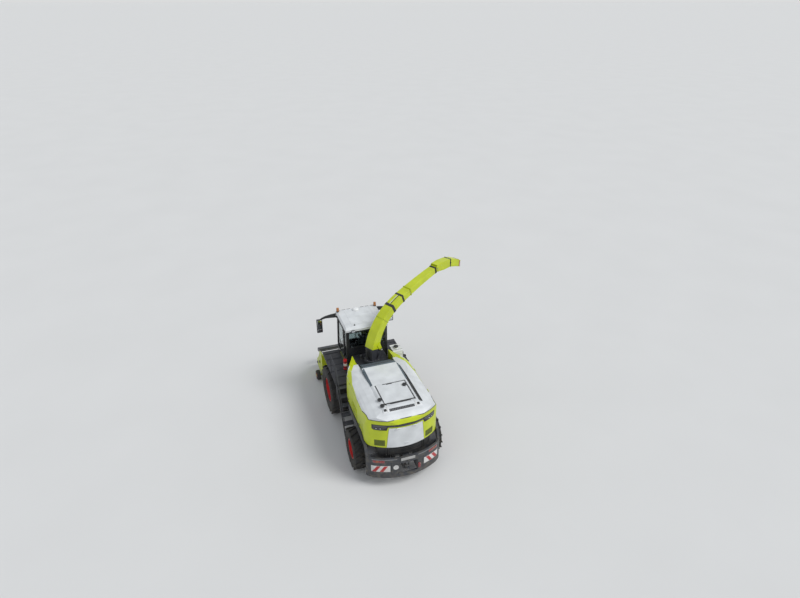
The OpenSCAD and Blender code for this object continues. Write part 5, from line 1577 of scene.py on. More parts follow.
    def add_handle(self) -> None:
        """Adds the grip and lock on the door."""
        grip = Former()
        grip.pipe([(1.3, self.half_w, 2.42), (1.3, 0.9, 2.43), (1.3, 0.9, 2.6),
                   (1.3, self.half_w, 2.61)], 0.011, 10, 0.02)
        grip.slab((1.33, 0.868, 2.33), (1.4, 0.9, 2.36), 0.006)
        grip.piece("door_grip", PLASTIC, 0.002, body="door")


@dataclass
class Workplace(Assembly):
    """Seat, console, wheel and pedals inside the cab."""

    floor_z: float = 2.08

    def dress(self) -> None:
        """Dresses the plain interior solids."""
        dress("cab_interior", TRIM_GREY, 0.03, 45)

    def build(self) -> None:
        """Adds cushions, console, pedals and displays."""
        self.add_cushions()
        self.add_console()
        self.add_wheel()
        self.add_floor()

    def add_cushions(self) -> None:
        """Adds the padded seat and backrest with piping."""
        for name, low, high in (
                ("seat_cushion", (0.36, -0.24, 2.6), (0.84, 0.24, 2.655)),
                ("seat_bolster_left", (0.4, 0.2, 2.61),
                 (0.8, 0.252, 2.67)),
                ("seat_bolster_right", (0.4, -0.252, 2.61),
                 (0.8, -0.2, 2.67))):
            pad = Former()
            pad.slab(low, high, 0.02)
            pad.piece(name, CLOTH, 0.012, 60)
        back = Former()
        back.plate([(0.353, 2.64), (0.385, 2.64), (0.33, 3.24), (0.296, 3.24)], "y",
                   -0.225, 0.225)
        back.piece("back_cushion", CLOTH, 0.012, 60)
        head = Former()
        head.plate([(0.2, 3.28), (0.29, 3.28), (0.28, 3.46), (0.21, 3.46)], "y", -0.13,
                   0.13)
        head.piece("head_rest", CLOTH, 0.02, 60)
        posts = Former()
        for y in (-0.06, 0.06):
            posts.pipe([(0.245, y, 3.24), (0.245, y, 3.3)], 0.007, 8)
        posts.piece("head_rest_posts", STEEL)

    def add_console(self) -> None:
        """Adds the armrest's lever, keys and display."""
        lever, keys, face = Former(), Former(), Former()
        lever.turned([(0, 0.03), (0.02, 0.028), (0.03, 0.014), (0.1, 0.016),
                      (0.13, 0.026), (0.19, 0.028), (0.21, 0.018), (0.215, 0.0)],
                     (0.93, -0.345, 2.755), (0.12, 0, 1), 24)
        lever.piece("drive_lever", PLASTIC, 0.001)
        for i in range(3):
            for j in range(4):
                x, y = 0.6 + 0.045 * j, -0.385 + 0.04 * i
                keys.slab((x, y - 0.013, 2.757), (x + 0.03, y + 0.013, 2.768), 0.003)
        keys.piece("console_keys", TRIM_GREY, 0.001, slot="black_plastic")
        face.plate([(1.02, 2.82), (1.05, 2.82), (1.09, 3.05), (1.06, 3.05)], "y", -0.5,
                   -0.2)
        face.pipe([(0.98, -0.35, 2.7), (1.06, -0.35, 2.85)], 0.014, 10)
        face.piece("display_case", PLASTIC, 0.004)
        glass = Former()
        glass.plate([(1.0255, 2.84), (1.03, 2.84), (1.062, 3.03), (1.0565, 3.03)], "y",
                    -0.485, -0.215)
        glass.piece("display_glass", DISPLAY)

    def add_wheel(self) -> None:
        """Adds the steering wheel's hub and column boot."""
        hub = Former()
        hub.turned([(-0.02, 0.06), (0.01, 0.06), (0.025, 0.045), (0.028, 0.0)],
                   (1.055, 0, 2.79), (-0.342, 0, 0.94), 28)
        folds = [(i * 0.02, 0.062 if i % 2 else 0.05) for i in range(9)]
        hub.turned(folds, (1.225, 0, 2.09), (-0.23, 0, 0.97), 24)
        hub.piece("wheel_hub", PLASTIC, 0.001)

    def add_floor(self) -> None:
        """Adds the ribbed mat and pedals."""
        mat, pedals = Former(), Former()
        z = self.floor_z
        mat.slab((0.0, -0.8, z - 0.001), (1.38, 0.8, z + 0.007), 0.002)
        for i in range(27):
            y = -0.78 + 0.06 * i
            mat.slab((0.02, y - 0.008, z + 0.006), (1.36, y + 0.008, z + 0.011))
        mat.piece("floor_mat", SEAL)
        for y in (-0.2, 0.16, 0.3):
            pedals.plate([(1.31, 2.1), (1.33, 2.1), (1.38, 2.22), (1.36, 2.22)], "y",
                         y - 0.04, y + 0.04)
        pedals.piece("pedals", STEEL, 0.002)


@dataclass
class Platform(Assembly):
    """Walkway, stair, rails, extinguisher and tank."""

    top: float = 2.146
    steps: int = 6

    def dress(self) -> None:
        """Dresses platform, extinguisher and tank."""
        dress("access_ladder", DECK_DARK, 0.003)
        dress("extinguisher", RED, 0.004, 45)
        dress("additive_tank", TANK, 0.03, 45)

    def build(self) -> None:
        """Adds treads, clamps and the fittings of both vessels."""
        self.add_studs()
        self.add_treads()
        self.add_clamps()
        self.add_extinguisher()
        self.add_tank()

    def add_studs(self) -> None:
        """Adds raised diamonds on both walkways."""
        studs = Former()
        for side in Side:
            s = side.value
            for i in range(40):
                for j in range(11):
                    x, y = -0.83 + i * 0.052, 0.94 + j * 0.064
                    slot = (x + 1.08) % 0.45 < 0.34 and 0.97 < y < 1.59
                    bare = side is Side.RIGHT and x < -0.2
                    if slot or bare or math.hypot(x + 0.3, y - 1.0) < 0.1:
                        continue
                    turn = 0.7 if (i + j) % 2 else -0.7
                    studs.stud(x, s * y, 0.014 * math.cos(turn),
                               0.014 * math.sin(turn) * s,
                               self.top - 0.001, self.top + 0.003)
        studs.piece("walkway_studs", DECK_DARK)

    def add_treads(self) -> None:
        """Adds pale punched plates on the stair's steps."""
        plates, teeth = Former(), Former()
        for i in range(self.steps):
            x, z = -2.37 + 0.18 * i, 0.51 + 0.31 * i
            plates.slab((x + 0.005, 1.225, z - 0.001),
                        (x + 0.235, 1.595, z + 0.006), 0.002)
            for a in range(4):
                for b in range(7):
                    teeth.turned([(0, 0.013), (0.006, 0.012), (0.01, 0.008),
                                  (0.006, 0.007)],
                                 (x + 0.035 + 0.056 * a, 1.25 + 0.053 * b, z + 0.006),
                                 UP, 10)
        plates.piece("step_plates", TRIM_GREY, 0.001)
        teeth.piece("step_teeth", TRIM_GREY)

    def add_clamps(self) -> None:
        """Adds feet and a gate chain at the handrails."""
        feet = Former()
        for x, y in ((-1.33, 1.615), (-1.32, 1.15), (-1.15, 1.08),
                     (-1.15, 1.615), (-0.35, 1.615)):
            feet.turned([(-0.002, 0.034), (0.01, 0.034), (0.014, 0.024), (0.06, 0.0235),
                         (0.062, 0.018)], (x, y, self.top), UP, 20)
        feet.piece("rail_feet", DECK_DARK, 0.001)
        links = Former()
        a, b = Vector((-1.325, 1.585, 2.62)), Vector((-1.325, 1.18, 2.62))
        count = 17
        for i in range(count):
            t = i / (count - 1)
            p = a.lerp(b, t) - Vector((0, 0, 0.22 * t * (1 - t)))
            ring = []
            flat = i % 2
            for k in circle_angles(10):
                u, v = 0.017 * math.cos(k), 0.009 * math.sin(k)
                ring.append(p + Vector((v if flat else 0, u, 0 if flat else v)))
            links.pipe(ring + [ring[0], ring[1]], 0.0035, 6)
        links.piece("gate_chain", AXLE_DARK, slot="steel")

    def add_extinguisher(self) -> None:
        """Adds the extinguisher's head, hose, straps and blank band."""
        x, y = -0.3, 1.0
        hose, straps, band = Former(), Former(), Former()
        hose.pipe([(x + 0.02, y + 0.01, 2.64), (x + 0.1, y + 0.01, 2.66),
                   (x + 0.1, y + 0.02, 2.5), (x + 0.09, y + 0.02, 2.28)],
                  0.009, 8, 0.04)
        hose.turned([(0, 0.012), (0.1, 0.016), (0.11, 0.012)],
                    (x + 0.09, y + 0.02, 2.28), DOWN, 14)
        hose.slab((x - 0.06, y - 0.014, 2.68), (x + 0.08, y + 0.014, 2.7), 0.004)
        hose.turned([(0, 0.02), (0.012, 0.02), (0.014, 0.014)],
                    (x, y + 0.028, 2.635), ACROSS, 16)
        hose.piece("extinguisher_hose", PLASTIC, 0.001)
        for z in (2.26, 2.5):
            straps.turned([(-0.016, 0.0745), (-0.016, 0.079), (0.016, 0.079),
                           (0.016, 0.0745)], (x, y, z), UP, 32)
            straps.slab((x - 0.02, 0.865, z - 0.015), (x + 0.02, 0.93, z + 0.015),
                        0.003)
        straps.piece("extinguisher_straps", PLASTIC)
        band.turned([(-0.06, 0.0745), (-0.06, 0.0765), (0.06, 0.0765), (0.06, 0.0745)],
                    (x, y, 2.38), UP, 32)
        band.piece("extinguisher_band", SIGN_WHITE)

    def add_tank(self) -> None:
        """Adds cap, ribs, straps and pump to the tank."""
        cap, ribs, straps = Former(), Former(), Former()
        cap.turned([(0.0, 0.094), (0.035, 0.094), (0.045, 0.084), (0.05, 0.0)],
                   (-0.53, -1.13, 2.918), UP, 32)
        for a in circle_angles(16):
            cap.slab((-0.53 + 0.092 * math.cos(a) - 0.006,
                      -1.13 + 0.092 * math.sin(a) - 0.006, 2.922),
                     (-0.53 + 0.092 * math.cos(a) + 0.006,
                      -1.13 + 0.092 * math.sin(a) + 0.006, 2.952))
        cap.piece("tank_cap", PLASTIC)
        for z in (2.28, 2.44, 2.6, 2.76):
            ribs.slab((-0.77, -1.346, z - 0.018), (-0.29, -1.334, z + 0.018), 0.004)
            for x in (-0.806, -0.266):
                ribs.slab((x, -1.3, z - 0.018), (x + 0.012, -0.97, z + 0.018), 0.004)
        ribs.piece("tank_ribs", TANK, 0.003)
        for x in (-0.68, -0.42):
            for a, b in (((x, -1.35, 2.2), (x + 0.03, -1.341, 2.86)),
                         ((x, -1.35, 2.858), (x + 0.03, -0.93, 2.866)),
                         ((x, -0.934, 2.2), (x + 0.03, -0.925, 2.86))):
                straps.slab(a, b, 0.002)
        straps.piece("tank_straps", STEEL)
        pump = Former()
        pump.turned([(0, 0.045), (0.12, 0.045), (0.13, 0.03), (0.15, 0.03)],
                    (-0.2, -1.1, 2.2), FORWARD, 24)
        pump.slab((-0.19, -1.13, 2.144), (-0.09, -1.07, 2.17), 0.004)
        pump.pipe([(-0.05, -1.1, 2.2), (0.0, -1.1, 2.24),
                   (0.0, -0.95, 2.3), (-0.1, -0.7, 2.5)], 0.011, 8, 0.05)
        pump.piece("dosing_pump", PLASTIC, 0.001)


@dataclass
class Spout(Assembly):
    """The discharge spout, from its ring gear to its end flap."""

    yaw: float = -62.0
    turret_x: float = -0.85
    foot_w: float = 0.43
    end_w: float = 0.30
    marks: tuple[tuple[float, float, float], ...] = (
        (0.02, 3.3, 0.4), (0.15, 3.7, 0.37), (0.42, 4.15, 0.35),
        (0.85, 4.56, 0.345), (1.45, 4.87, 0.325), (2.2, 5.11, 0.295),
        (3.0, 5.32, 0.27), (3.95, 5.53, 0.25))

    @property
    def stations(self) -> list[tuple[float, ...]]:
        """Returns the boom's sections on the smooth curve of its marks."""
        rows, last = [], len(self.marks) - 1
        for i in range(last):
            a, b, c, d = (Vector(self.marks[min(max(k, 0), last)])
                          for k in (i - 1, i, i + 1, i + 2))
            for t in (0.0, 1 / 3, 2 / 3):
                rows.append(tuple((b * 2 + (c - a) * t + (a * 2 - b * 5 + c * 4 - d)
                                   * t ** 2 + (b * 3 - a - c * 3 + d) * t ** 3) / 2))
        return rows + [self.marks[-1]]

    @property
    def turn(self) -> Matrix:
        """Returns the matrix from the spout's frame to the row frame."""
        return (Matrix.Translation(MACHINE + Vector((self.turret_x, 0, 0)))
                @ Matrix.Rotation(math.radians(self.yaw), 4, "Z"))

    def section(self, s: float) -> tuple[float, float, float, float, float]:
        """Returns the boom's middle, depth, lean and width at s.

        Args:
            s: distance along the boom's bearing, in metres.

        Returns:
            Height, depth, tangent's two parts and half width.
        """
        rows = self.stations
        for (s0, z0, d0), (s1, z1, d1) in zip(rows, rows[1:]):
            if s <= s1 or (s1, z1, d1) == rows[-1]:
                t = (s - s0) / (s1 - s0)
                n = math.hypot(s1 - s0, z1 - z0)
                wide = between(self.foot_w, self.end_w, (s + 0.3) / 4.25) / 2
                return (between(z0, z1, t), between(d0, d1, t),
                        (s1 - s0) / n, (z1 - z0) / n, wide)
        raise ValueError(s)

    def on_boom(self, s: float, across: float, up: float) -> Point:
        """Returns a point by station, share of width and height."""
        z, depth, tx, tz, wide = self.section(s)
        return (s - tz * up * depth / 2, across * wide, z + tx * up * depth / 2)

    def dress(self) -> None:
        """Dresses turret, boom, flap and cylinder."""
        dress("spout_turret", DECK_DARK, 0.003)
        dress("spout_boom", LIME, 0.004)
        dress("spout_flap", LIME, 0.003)
        dress("spout_barrel", CAB_BLACK, 0.003)
        dress("spout_rod", CHROME, 0.001)
        dress("crop_duct", FRAME_GREY, 0.004)

    def build(self) -> None:
        """Adds the spout's flanges, straps, hoses and fittings."""
        self.add_ring_gear()
        self.add_flanges()
        self.add_straps()
        self.add_joint()
        self.add_hoses()
        self.add_tip()
        self.add_lamp()
        self.add_pins()

    def add_ring_gear(self) -> None:
        """Adds the slewing ring's teeth, bolts and worm motor."""
        teeth, bolts, motor = Former(self.turn), Former(self.turn), Former()
        for a in circle_angles(72):
            ca, sa = math.cos(a), math.sin(a)
            r0, r1, h = 0.305, 0.322, 0.006
            ring = [(r0 * ca + h * sa, r0 * sa - h * ca),
                    (r1 * ca + h * 0.5 * sa, r1 * sa - h * 0.5 * ca),
                    (r1 * ca - h * 0.5 * sa, r1 * sa + h * 0.5 * ca),
                    (r0 * ca - h * sa, r0 * sa + h * ca)]
            teeth.loft([[(*p, z) for p in ring] for z in (2.768, 2.795)])
        teeth.piece("ring_teeth", STEEL, body="turret")
        for a in circle_angles(20):
            bolts.hexagon((0.285 * math.cos(a), 0.285 * math.sin(a), 2.819), UP, 0.015,
                          0.014)
        bolts.piece("ring_bolts", ZINC, body="turret")
        x, y = -0.55, 0.36
        motor.turned([(0, 0.07), (0.04, 0.075), (0.05, 0.05), (0.2, 0.05), (0.21, 0.04),
                      (0.225, 0.02)], (x, y, 2.64), UP, 28)
        motor.slab((x - 0.08, y - 0.08, 2.638), (x + 0.08, y + 0.08, 2.66), 0.01)
        motor.pipe([(x + 0.03, y, 2.8), (x + 0.12, y + 0.02, 2.8),
                    (x + 0.2, y + 0.1, 2.7), (x + 0.25, y + 0.15, 2.63)],
                   0.012, 8, 0.05)
        motor.piece("slewing_motor", AXLE_DARK, 0.002, slot="black_plastic")

    def frame_at(self, form: Former, s: float, thick: float, proud: float) -> None:
        """Adds a collar round the boom at a station."""
        outer, inner = [], []
        z, depth, tx, tz, wide = self.section(s)
        for grow, ring in ((proud, outer), (-0.003, inner)):
            for c, u in ((-1, -1), (1, -1), (1, 1), (-1, 1)):
                up = u * (depth / 2 + grow)
                ring.append((c * (wide + grow), up))

        def lift(p: Pair, d: float) -> Point:
            """Returns a corner moved along the boom."""
            a, up = p
            return (s - tz * up + tx * d, a, z + tx * up + tz * d)
        half = thick / 2
        form.loft([[lift(p, -half) for p in inner], [lift(p, -half) for p in outer],
                   [lift(p, half) for p in outer], [lift(p, half) for p in inner]],
                  looped=True)

    def add_flanges(self) -> None:
        """Adds bolted flanges, seams and ribs along the boom."""
        collars, bolts, beads = (Former(self.turn), Former(self.turn),
                                 Former(self.turn))
        for s in (0.62, 2.1, 2.125, 3.88):
            self.frame_at(collars, s, 0.012, 0.022)
        collars.piece("boom_flanges", LIME, 0.002, body="boom")
        s = 2.09
        z, depth, tx, tz, wide = self.section(s)
        for side in (-1, 1):
            for k in (-0.8, -0.4, 0.0, 0.4, 0.8):
                up = k * depth / 2
                p = (s - tz * up, side * (wide + 0.011), z + tx * up)
                bolts.hexagon(p, (-tx, 0, -tz), 0.012, 0.012)
        bolts.piece("boom_bolts", ZINC, body="boom")
        for side in (-1, 1):
            for up in (-0.86, 0.86):
                path = [self.on_boom(0.7 + i * 0.1, side, up) for i in range(29)]
                beads.pipe(path, 0.007, 6)
        beads.piece("boom_beads", LIME, body="boom")

    def add_straps(self) -> None:
        """Adds the dark brackets and the pale strip on the boom."""
        straps, strip = Former(self.turn), Former(self.turn)
        for s, wide in ((1.1, 0.12), (1.66, 0.09)):
            self.frame_at(straps, s, wide, 0.008)
        slot = [self.on_boom(s, -0.15, 1.0) for s in (1.18, 1.4, 1.6)]
        for k, p in enumerate(slot[:-1]):
            q = slot[k + 1]
            straps.pipe([(p[0], p[1], p[2] + 0.006), (q[0], q[1], q[2] + 0.006)], 0.014,
                        8)
        straps.piece("boom_straps", PLASTIC, 0.002, body="boom")
        path = [self.on_boom(1.13 + i * 0.06, 0.12, 1.0) for i in range(9)]
        strip.pipe([(p[0], p[1], p[2] + 0.007) for p in path], 0.009, 8)
        strip.piece("boom_strip", WHITE, body="boom")

    def add_joint(self) -> None:
        """Adds hinge heads and the band at the boom's end."""
        heads, skirt = Former(self.turn), Former(self.turn)
        for side in (-1, 1):
            heads.turned([(0.0, 0.026), (0.006, 0.026), (0.008, 0.018), (0.018, 0.018),
                          (0.02, 0.01)], (3.84, side * 0.174, 5.54), (0, side, 0), 24)
        heads.piece("flap_hinge_heads", STEEL, 0.001, body="boom")
        self.frame_at(skirt, 3.74, 0.1, 0.006)
        skirt.piece("end_band", SEAL, 0.002, body="boom")

    def add_hoses(self) -> None:
        """Adds hoses and clips from the turret up the boom."""
        hoses, clips = Former(self.turn), Former(self.turn)
        for k in range(3):
            y = -0.06 + 0.04 * k
            path = [self.on_boom(0.75 + 0.2 * i, 0.0, -1.0) for i in range(15)]
            hoses.pipe([(p[0] + 0.01, p[1] + y, p[2] - 0.016) for p in path], 0.009, 8)
        hoses.piece("boom_hoses", SEAL, body="boom")
        for i in range(6):
            p = self.on_boom(0.95 + 0.5 * i, 0.0, -1.0)
            _, _, tx, tz, _ = self.section(0.95 + 0.5 * i)
            for d in (-0.02, 0.02):
                q = (p[0] + d * tx + 0.012 * tz, 0, p[2] + d * tz - 0.012 * tx)
                clips.pipe([(q[0], -0.08, q[2]), (q[0], 0.08, q[2])], 0.014, 8)
        clips.piece("boom_hose_clips", ZINC, body="boom")
        loops = Former(self.turn)
        for k in range(3):
            y = -0.05 + 0.04 * k
            loops.pipe([(-0.16, y, 2.84), (-0.23, y, 2.98), (-0.24, y, 3.2),
                        (-0.2, y, 3.34)], 0.01, 8, 0.08)
            loops.slab((-0.2, y - 0.014, 2.815), (-0.15, y + 0.014, 2.85), 0.003)
        loops.piece("turret_hoses", SEAL, body="turret")

    def add_tip(self) -> None:
        """Adds the end flap's second joint, ribs and bright end marks."""
        arms, marks, pale, bolts, joint = (
            Former(self.turn), Former(self.turn), Former(self.turn),
            Former(self.turn), Former(self.turn))
        for side in (-1, 1):
            y0, y1 = sorted((side * 0.166, side * 0.173))
            arms.plate([(4.0, 5.40), (4.66, 5.365), (4.66, 5.39), (4.0, 5.43)], "y", y0,
                       y1)
            arms.plate([(4.82, 5.36), (5.40, 5.16), (5.41, 5.18), (4.82, 5.385)], "y",
                       y0, y1)
            joint.plate([(4.70, 5.345), (4.76, 5.33), (4.76, 5.70), (4.70, 5.705)], "y",
                        y0, y1)
            joint.turned([(0.0, 0.05), (0.006, 0.05), (0.01, 0.035), (0.018, 0.034),
                          (0.022, 0.02)], (4.73, side * 0.168, 5.52), (0, side, 0), 24)
            for x, z in ((4.1, 5.62), (4.5, 5.62), (4.95, 5.55), (5.2, 5.45)):
                bolts.hexagon((x, side * 0.168, z), (0, side, 0), 0.011, 0.010)
            pale.plate([(5.395, 5.125), (5.448, 5.109), (5.478, 5.372), (5.42, 5.40)],
                       "y", *sorted((side * 0.1675, side * 0.175)))
            marks.plate([(5.34, 5.145), (5.39, 5.128), (5.415, 5.404), (5.36, 5.436)],
                        "y", *sorted((side * 0.1675, side * 0.175)))
        joint.plate([(4.70, 5.704), (4.76, 5.690), (4.762, 5.697), (4.702, 5.711)], "y",
                    -0.165, 0.165)
        marks.plate([(5.31, 5.487), (5.39, 5.439), (5.394, 5.446), (5.314, 5.494)], "y",
                    -0.16, 0.16)
        pale.plate([(5.40, 5.432), (5.474, 5.387), (5.478, 5.394), (5.404, 5.439)], "y",
                   -0.16, 0.16)
        arms.piece("flap_stiffeners", LIME, 0.001, body="flap")
        marks.piece("tip_mark_amber", AMBER_LENS, body="flap", slot="red")
        pale.piece("tip_mark_white", SIGN_WHITE, body="flap")
        joint.piece("flap_second_joint", PLASTIC, 0.001, body="flap")
        bolts.piece("flap_bolts", ZINC, body="flap")

    def add_lamp(self) -> None:
        """Adds the camera under the boom's end."""
        case, lens = Former(self.turn), Former(self.turn)
        p = self.on_boom(3.3, 0.0, -1.0)
        case.slab((p[0] - 0.05, -0.05, p[2] - 0.09),
                  (p[0] + 0.05, 0.05, p[2] + 0.01), 0.012)
        case.piece("boom_camera", PLASTIC, 0.003, body="boom")
        lens.turned([(0, 0.026), (0.01, 0.024), (0.014, 0.0)],
                    (p[0] + 0.048, 0, p[2] - 0.05), (1, 0, -0.2), 24)
        lens.piece("boom_camera_lens", GLOSS_BLACK, body="boom", slot="lamp_plastic")

    def add_pins(self) -> None:
        """Adds heads and locking plates on the boom's pivots."""
        pins = Former(self.turn)
        for side in (-1, 1):
            for x, y, z, r in ((0.3, 0.256, 3.18, 0.04), (0.25, 0.044, 2.9, 0.025)):
                pins.turned([(-0.002, r), (0.012, r), (0.016, r - 0.006), (0.016, 0.0)],
                            (x, side * y, z), (0, side, 0), 28)
            pins.hexagon((0.3, side * 0.27, 3.18), (0, side, 0), 0.02, 0.014)
        pins.piece("turret_pin_heads", ZINC, 0.001, body="turret")


@dataclass
class Header(Assembly):
    """The pick-up header, its drive and the feeder housing."""

    half_w: float = 1.5
    pitch: float = 0.17
    reel: Pair = (3.15, 0.385)
    auger: Pair = (2.6, 0.76)

    def dress(self) -> None:
        """Dresses the header's CAD nodes."""
        dress("header_frame", LIME, 0.002)
        dress("feeder_housing", FRAME_GREY, 0.004)
        dress("header_auger", STEEL, 0.0)
        dress("pickup_reel", SLATE, 0.0)
        dress("press_roller", FRAME_GREY, 0.003)
        dress("lift_barrels", AXLE_DARK, 0.002)
        dress("lift_rods", CHROME, 0.001)
        for side in Side:
            dress(f"gauge_wheel_{side.word}", RUBBER, 0.008, 40)

    def build(self) -> None:
        """Adds springs, bolts, drives, hubs and hoses."""
        self.add_springs()
        self.add_bolts()
        self.add_drive()
        self.add_gauge_hubs()
        self.add_feeder()
        self.add_flight_edges()
        self.add_band_bolts()
        self.add_lamps()

    def add_springs(self) -> None:
        """Adds the coils at the root of each tine."""
        coils = Former()
        n = math.floor((2 * self.half_w - 0.12) / self.pitch)
        x0, z0 = self.reel
        for k in range(5):
            a = 2 * math.pi * k / 5
            cx, cz = x0 + 0.185 * math.cos(a), z0 - 0.185 * math.sin(a)
            for i in range(n + 1):
                y = (i - n / 2) * self.pitch
                for d in (-0.021, -0.014, 0.014, 0.021):
                    coils.turned([(-0.003, 0.019), (-0.003, 0.025), (0.003, 0.025),
                                  (0.003, 0.019)], (cx, y + d, cz), ACROSS, 8,
                                 looped=True)
        coils.piece("tine_coils", STEEL, body="reel")

    def add_bolts(self) -> None:
        """Adds bearings and bolts on the header's side plates."""
        bolts, bearings = Former(), Former()
        for s in SIGNS:
            y = s * (self.half_w + 0.04)
            for x, z, r in ((*self.auger, 0.075), (*self.reel, 0.07)):
                bearings.turned([(0, r), (0.012, r), (0.016, r - 0.006),
                                 (0.03, r * 0.7), (0.034, 0.032)],
                                (x, y, z), (0, s, 0), 28)
                for a in circle_angles(4):
                    bolts.hexagon((x + r * 0.82 * math.cos(a + 0.78), y + s * 0.011,
                                   z + r * 0.82 * math.sin(a + 0.78)), (0, s, 0), 0.012,
                                  0.012)
            for x, z in ((2.09, 0.64), (2.09, 0.95), (2.09, 1.25),
                         (2.09, 1.4), (2.25, 1.42), (2.83, 0.2),
                         (2.5, 0.36), (2.86, 0.62), (2.3, 0.22)):
                bolts.hexagon((x, y, z), (0, s, 0), 0.014, 0.013)
        bearings.piece("header_bearings", AXLE_DARK, 0.001, body="feeder")
        bolts.piece("header_bolts", ZINC, body="feeder")

    def add_drive(self) -> None:
        """Adds the black drive guard on the header's right side."""
        guard = Former()
        y0, y1 = -1.62, -1.541
        guard.plate([(2.25, 0.62), (2.62, 0.54), (3.12, 0.26), (3.28, 0.33),
                     (3.26, 0.5), (2.9, 0.84), (2.72, 1.0), (2.3, 1.1), (2.18, 1.0)],
                    "y", y0, y1)
        guard.piece("drive_guard", PLASTIC, 0.012, body="feeder")
        ribs = Former()
        for i in range(4):
            z = 0.72 + 0.08 * i
            ribs.slab((2.32, y0 - 0.006, z), (2.7, y0 + 0.002, z + 0.025), 0.002)
        ribs.piece("drive_guard_ribs", SLATE,
                   0.001, body="feeder", slot="black_plastic")

    def add_gauge_hubs(self) -> None:
        """Adds red hubs with nuts and side rings to the gauge wheels."""
        for side in Side:
            s = side.value
            hub, rings = Former(), Former()
            for face in (1, -1):
                base = s * 1.7 + face * 0.07
                hub.turned([(-0.002, 0.107), (0.004, 0.107), (0.008, 0.09),
                            (0.008, 0.042)], (2.33, base, 0.23), (0, face, 0), 32)
                for a in circle_angles(5):
                    hub.hexagon((2.33 + 0.07 * math.cos(a), base + face * 0.006,
                                 0.23 + 0.07 * math.sin(a)), (0, face, 0), 0.011, 0.01)
                for r in (0.16, 0.18):
                    rings.turned([(0.083, r - 0.004), (0.088, r), (0.083, r + 0.004)],
                                 (2.33, s * 1.7, 0.23), (0, face, 0), 40, looped=True)
            hub.piece(f"gauge_hub_{side.word}", RED, 0.001, body=f"gauge_{side.word}")
            rings.piece(f"gauge_rings_{side.word}", RUBBER, body=f"gauge_{side.word}")

    def add_feeder(self) -> None:
        """Adds ribs, couplers and pipes on the feeder housing."""
        ribs, blocks, pipes = Former(), Former(), Former()
        for s in SIGNS:
            y0, y1 = sorted((s * 0.329, s * 0.345))
            for x, z0, z1 in ((1.05, 0.74, 1.42), (1.8, 0.64, 1.2)):
                ribs.slab((x, y0, z0), (x + 0.03, y1, z1), 0.003)
        ribs.piece("feeder_ribs", FRAME_GREY, 0.002, body="feeder")
        blocks.slab((1.78, 0.18, 1.26), (1.96, 0.32, 1.37), 0.01)
        for i, finish in enumerate((RED, BLUE_CAP, GREEN_CAP)):
            cap = Former()
            y = 0.205 + 0.043 * i
            cap.turned([(0, 0.014), (0.03, 0.016), (0.034, 0.012)],
                       (1.96, y, 1.33), FORWARD, 16)
            cap.piece(f"coupler_cap_{i}", finish, body="feeder", slot="red")
            pipes.pipe([(1.79, y, 1.34), (1.6, y, 1.4), (1.2, y, 1.45), (1.0, y, 1.5)],
                       0.01, 8, 0.06)
        blocks.piece("coupler_block", ZINC, 0.002, body="feeder")
        pipes.piece("feeder_hoses", SEAL, body="feeder")

    def add_flight_edges(self) -> None:
        """Adds retracting fingers and bolts on the auger."""
        fingers = Former()
        x0, z0 = self.auger
        for i in range(7):
            y = -0.24 + 0.08 * i
            a = i * 1.1
            run = (math.cos(a), 0, math.sin(a))
            base = (x0 + 0.145 * run[0], y, z0 + 0.145 * run[2])
            fingers.turned([(0, 0.02), (0.012, 0.02), (0.014, 0.009),
                            (0.1, 0.008), (0.105, 0.0)], base, run, 12)
        for s in (-1, 1):
            for a in circle_angles(8):
                fingers.hexagon((x0 + 0.12 * math.cos(a), s * 1.484,
                                 z0 + 0.12 * math.sin(a)), (0, s, 0), 0.012, 0.008)
        fingers.piece("auger_fingers", STEEL, body="auger")

    def add_band_bolts(self) -> None:
        """Adds screws on the stripper bands."""
        screws = Former()
        n = math.floor((2 * self.half_w - 0.12) / self.pitch)
        for i in range(n):
            y = (i - n / 2) * self.pitch + 0.085
            for z, up in ((0.385 + 0.225, 1), (0.385 - 0.225, -1)):
                screws.turned([(-0.002, 0.014), (0.004, 0.013), (0.007, 0.008)],
                              (2.93, y, z), (0, 0, up), 12)
        screws.piece("band_screws", ZINC, body="feeder")

    def add_lamps(self) -> None:
        """Adds reflectors on the header's side plates."""
        for side in Side:
            s = side.value
            lens = Former()
            low, high = sorted((s * 1.538, s * 1.55))
            lens.slab((2.14, low, 1.29), (2.24, high, 1.34), 0.006)
            lens.piece(f"header_reflector_{side.word}", AMBER_LENS, 0.002,
                       body="feeder")


# The studio


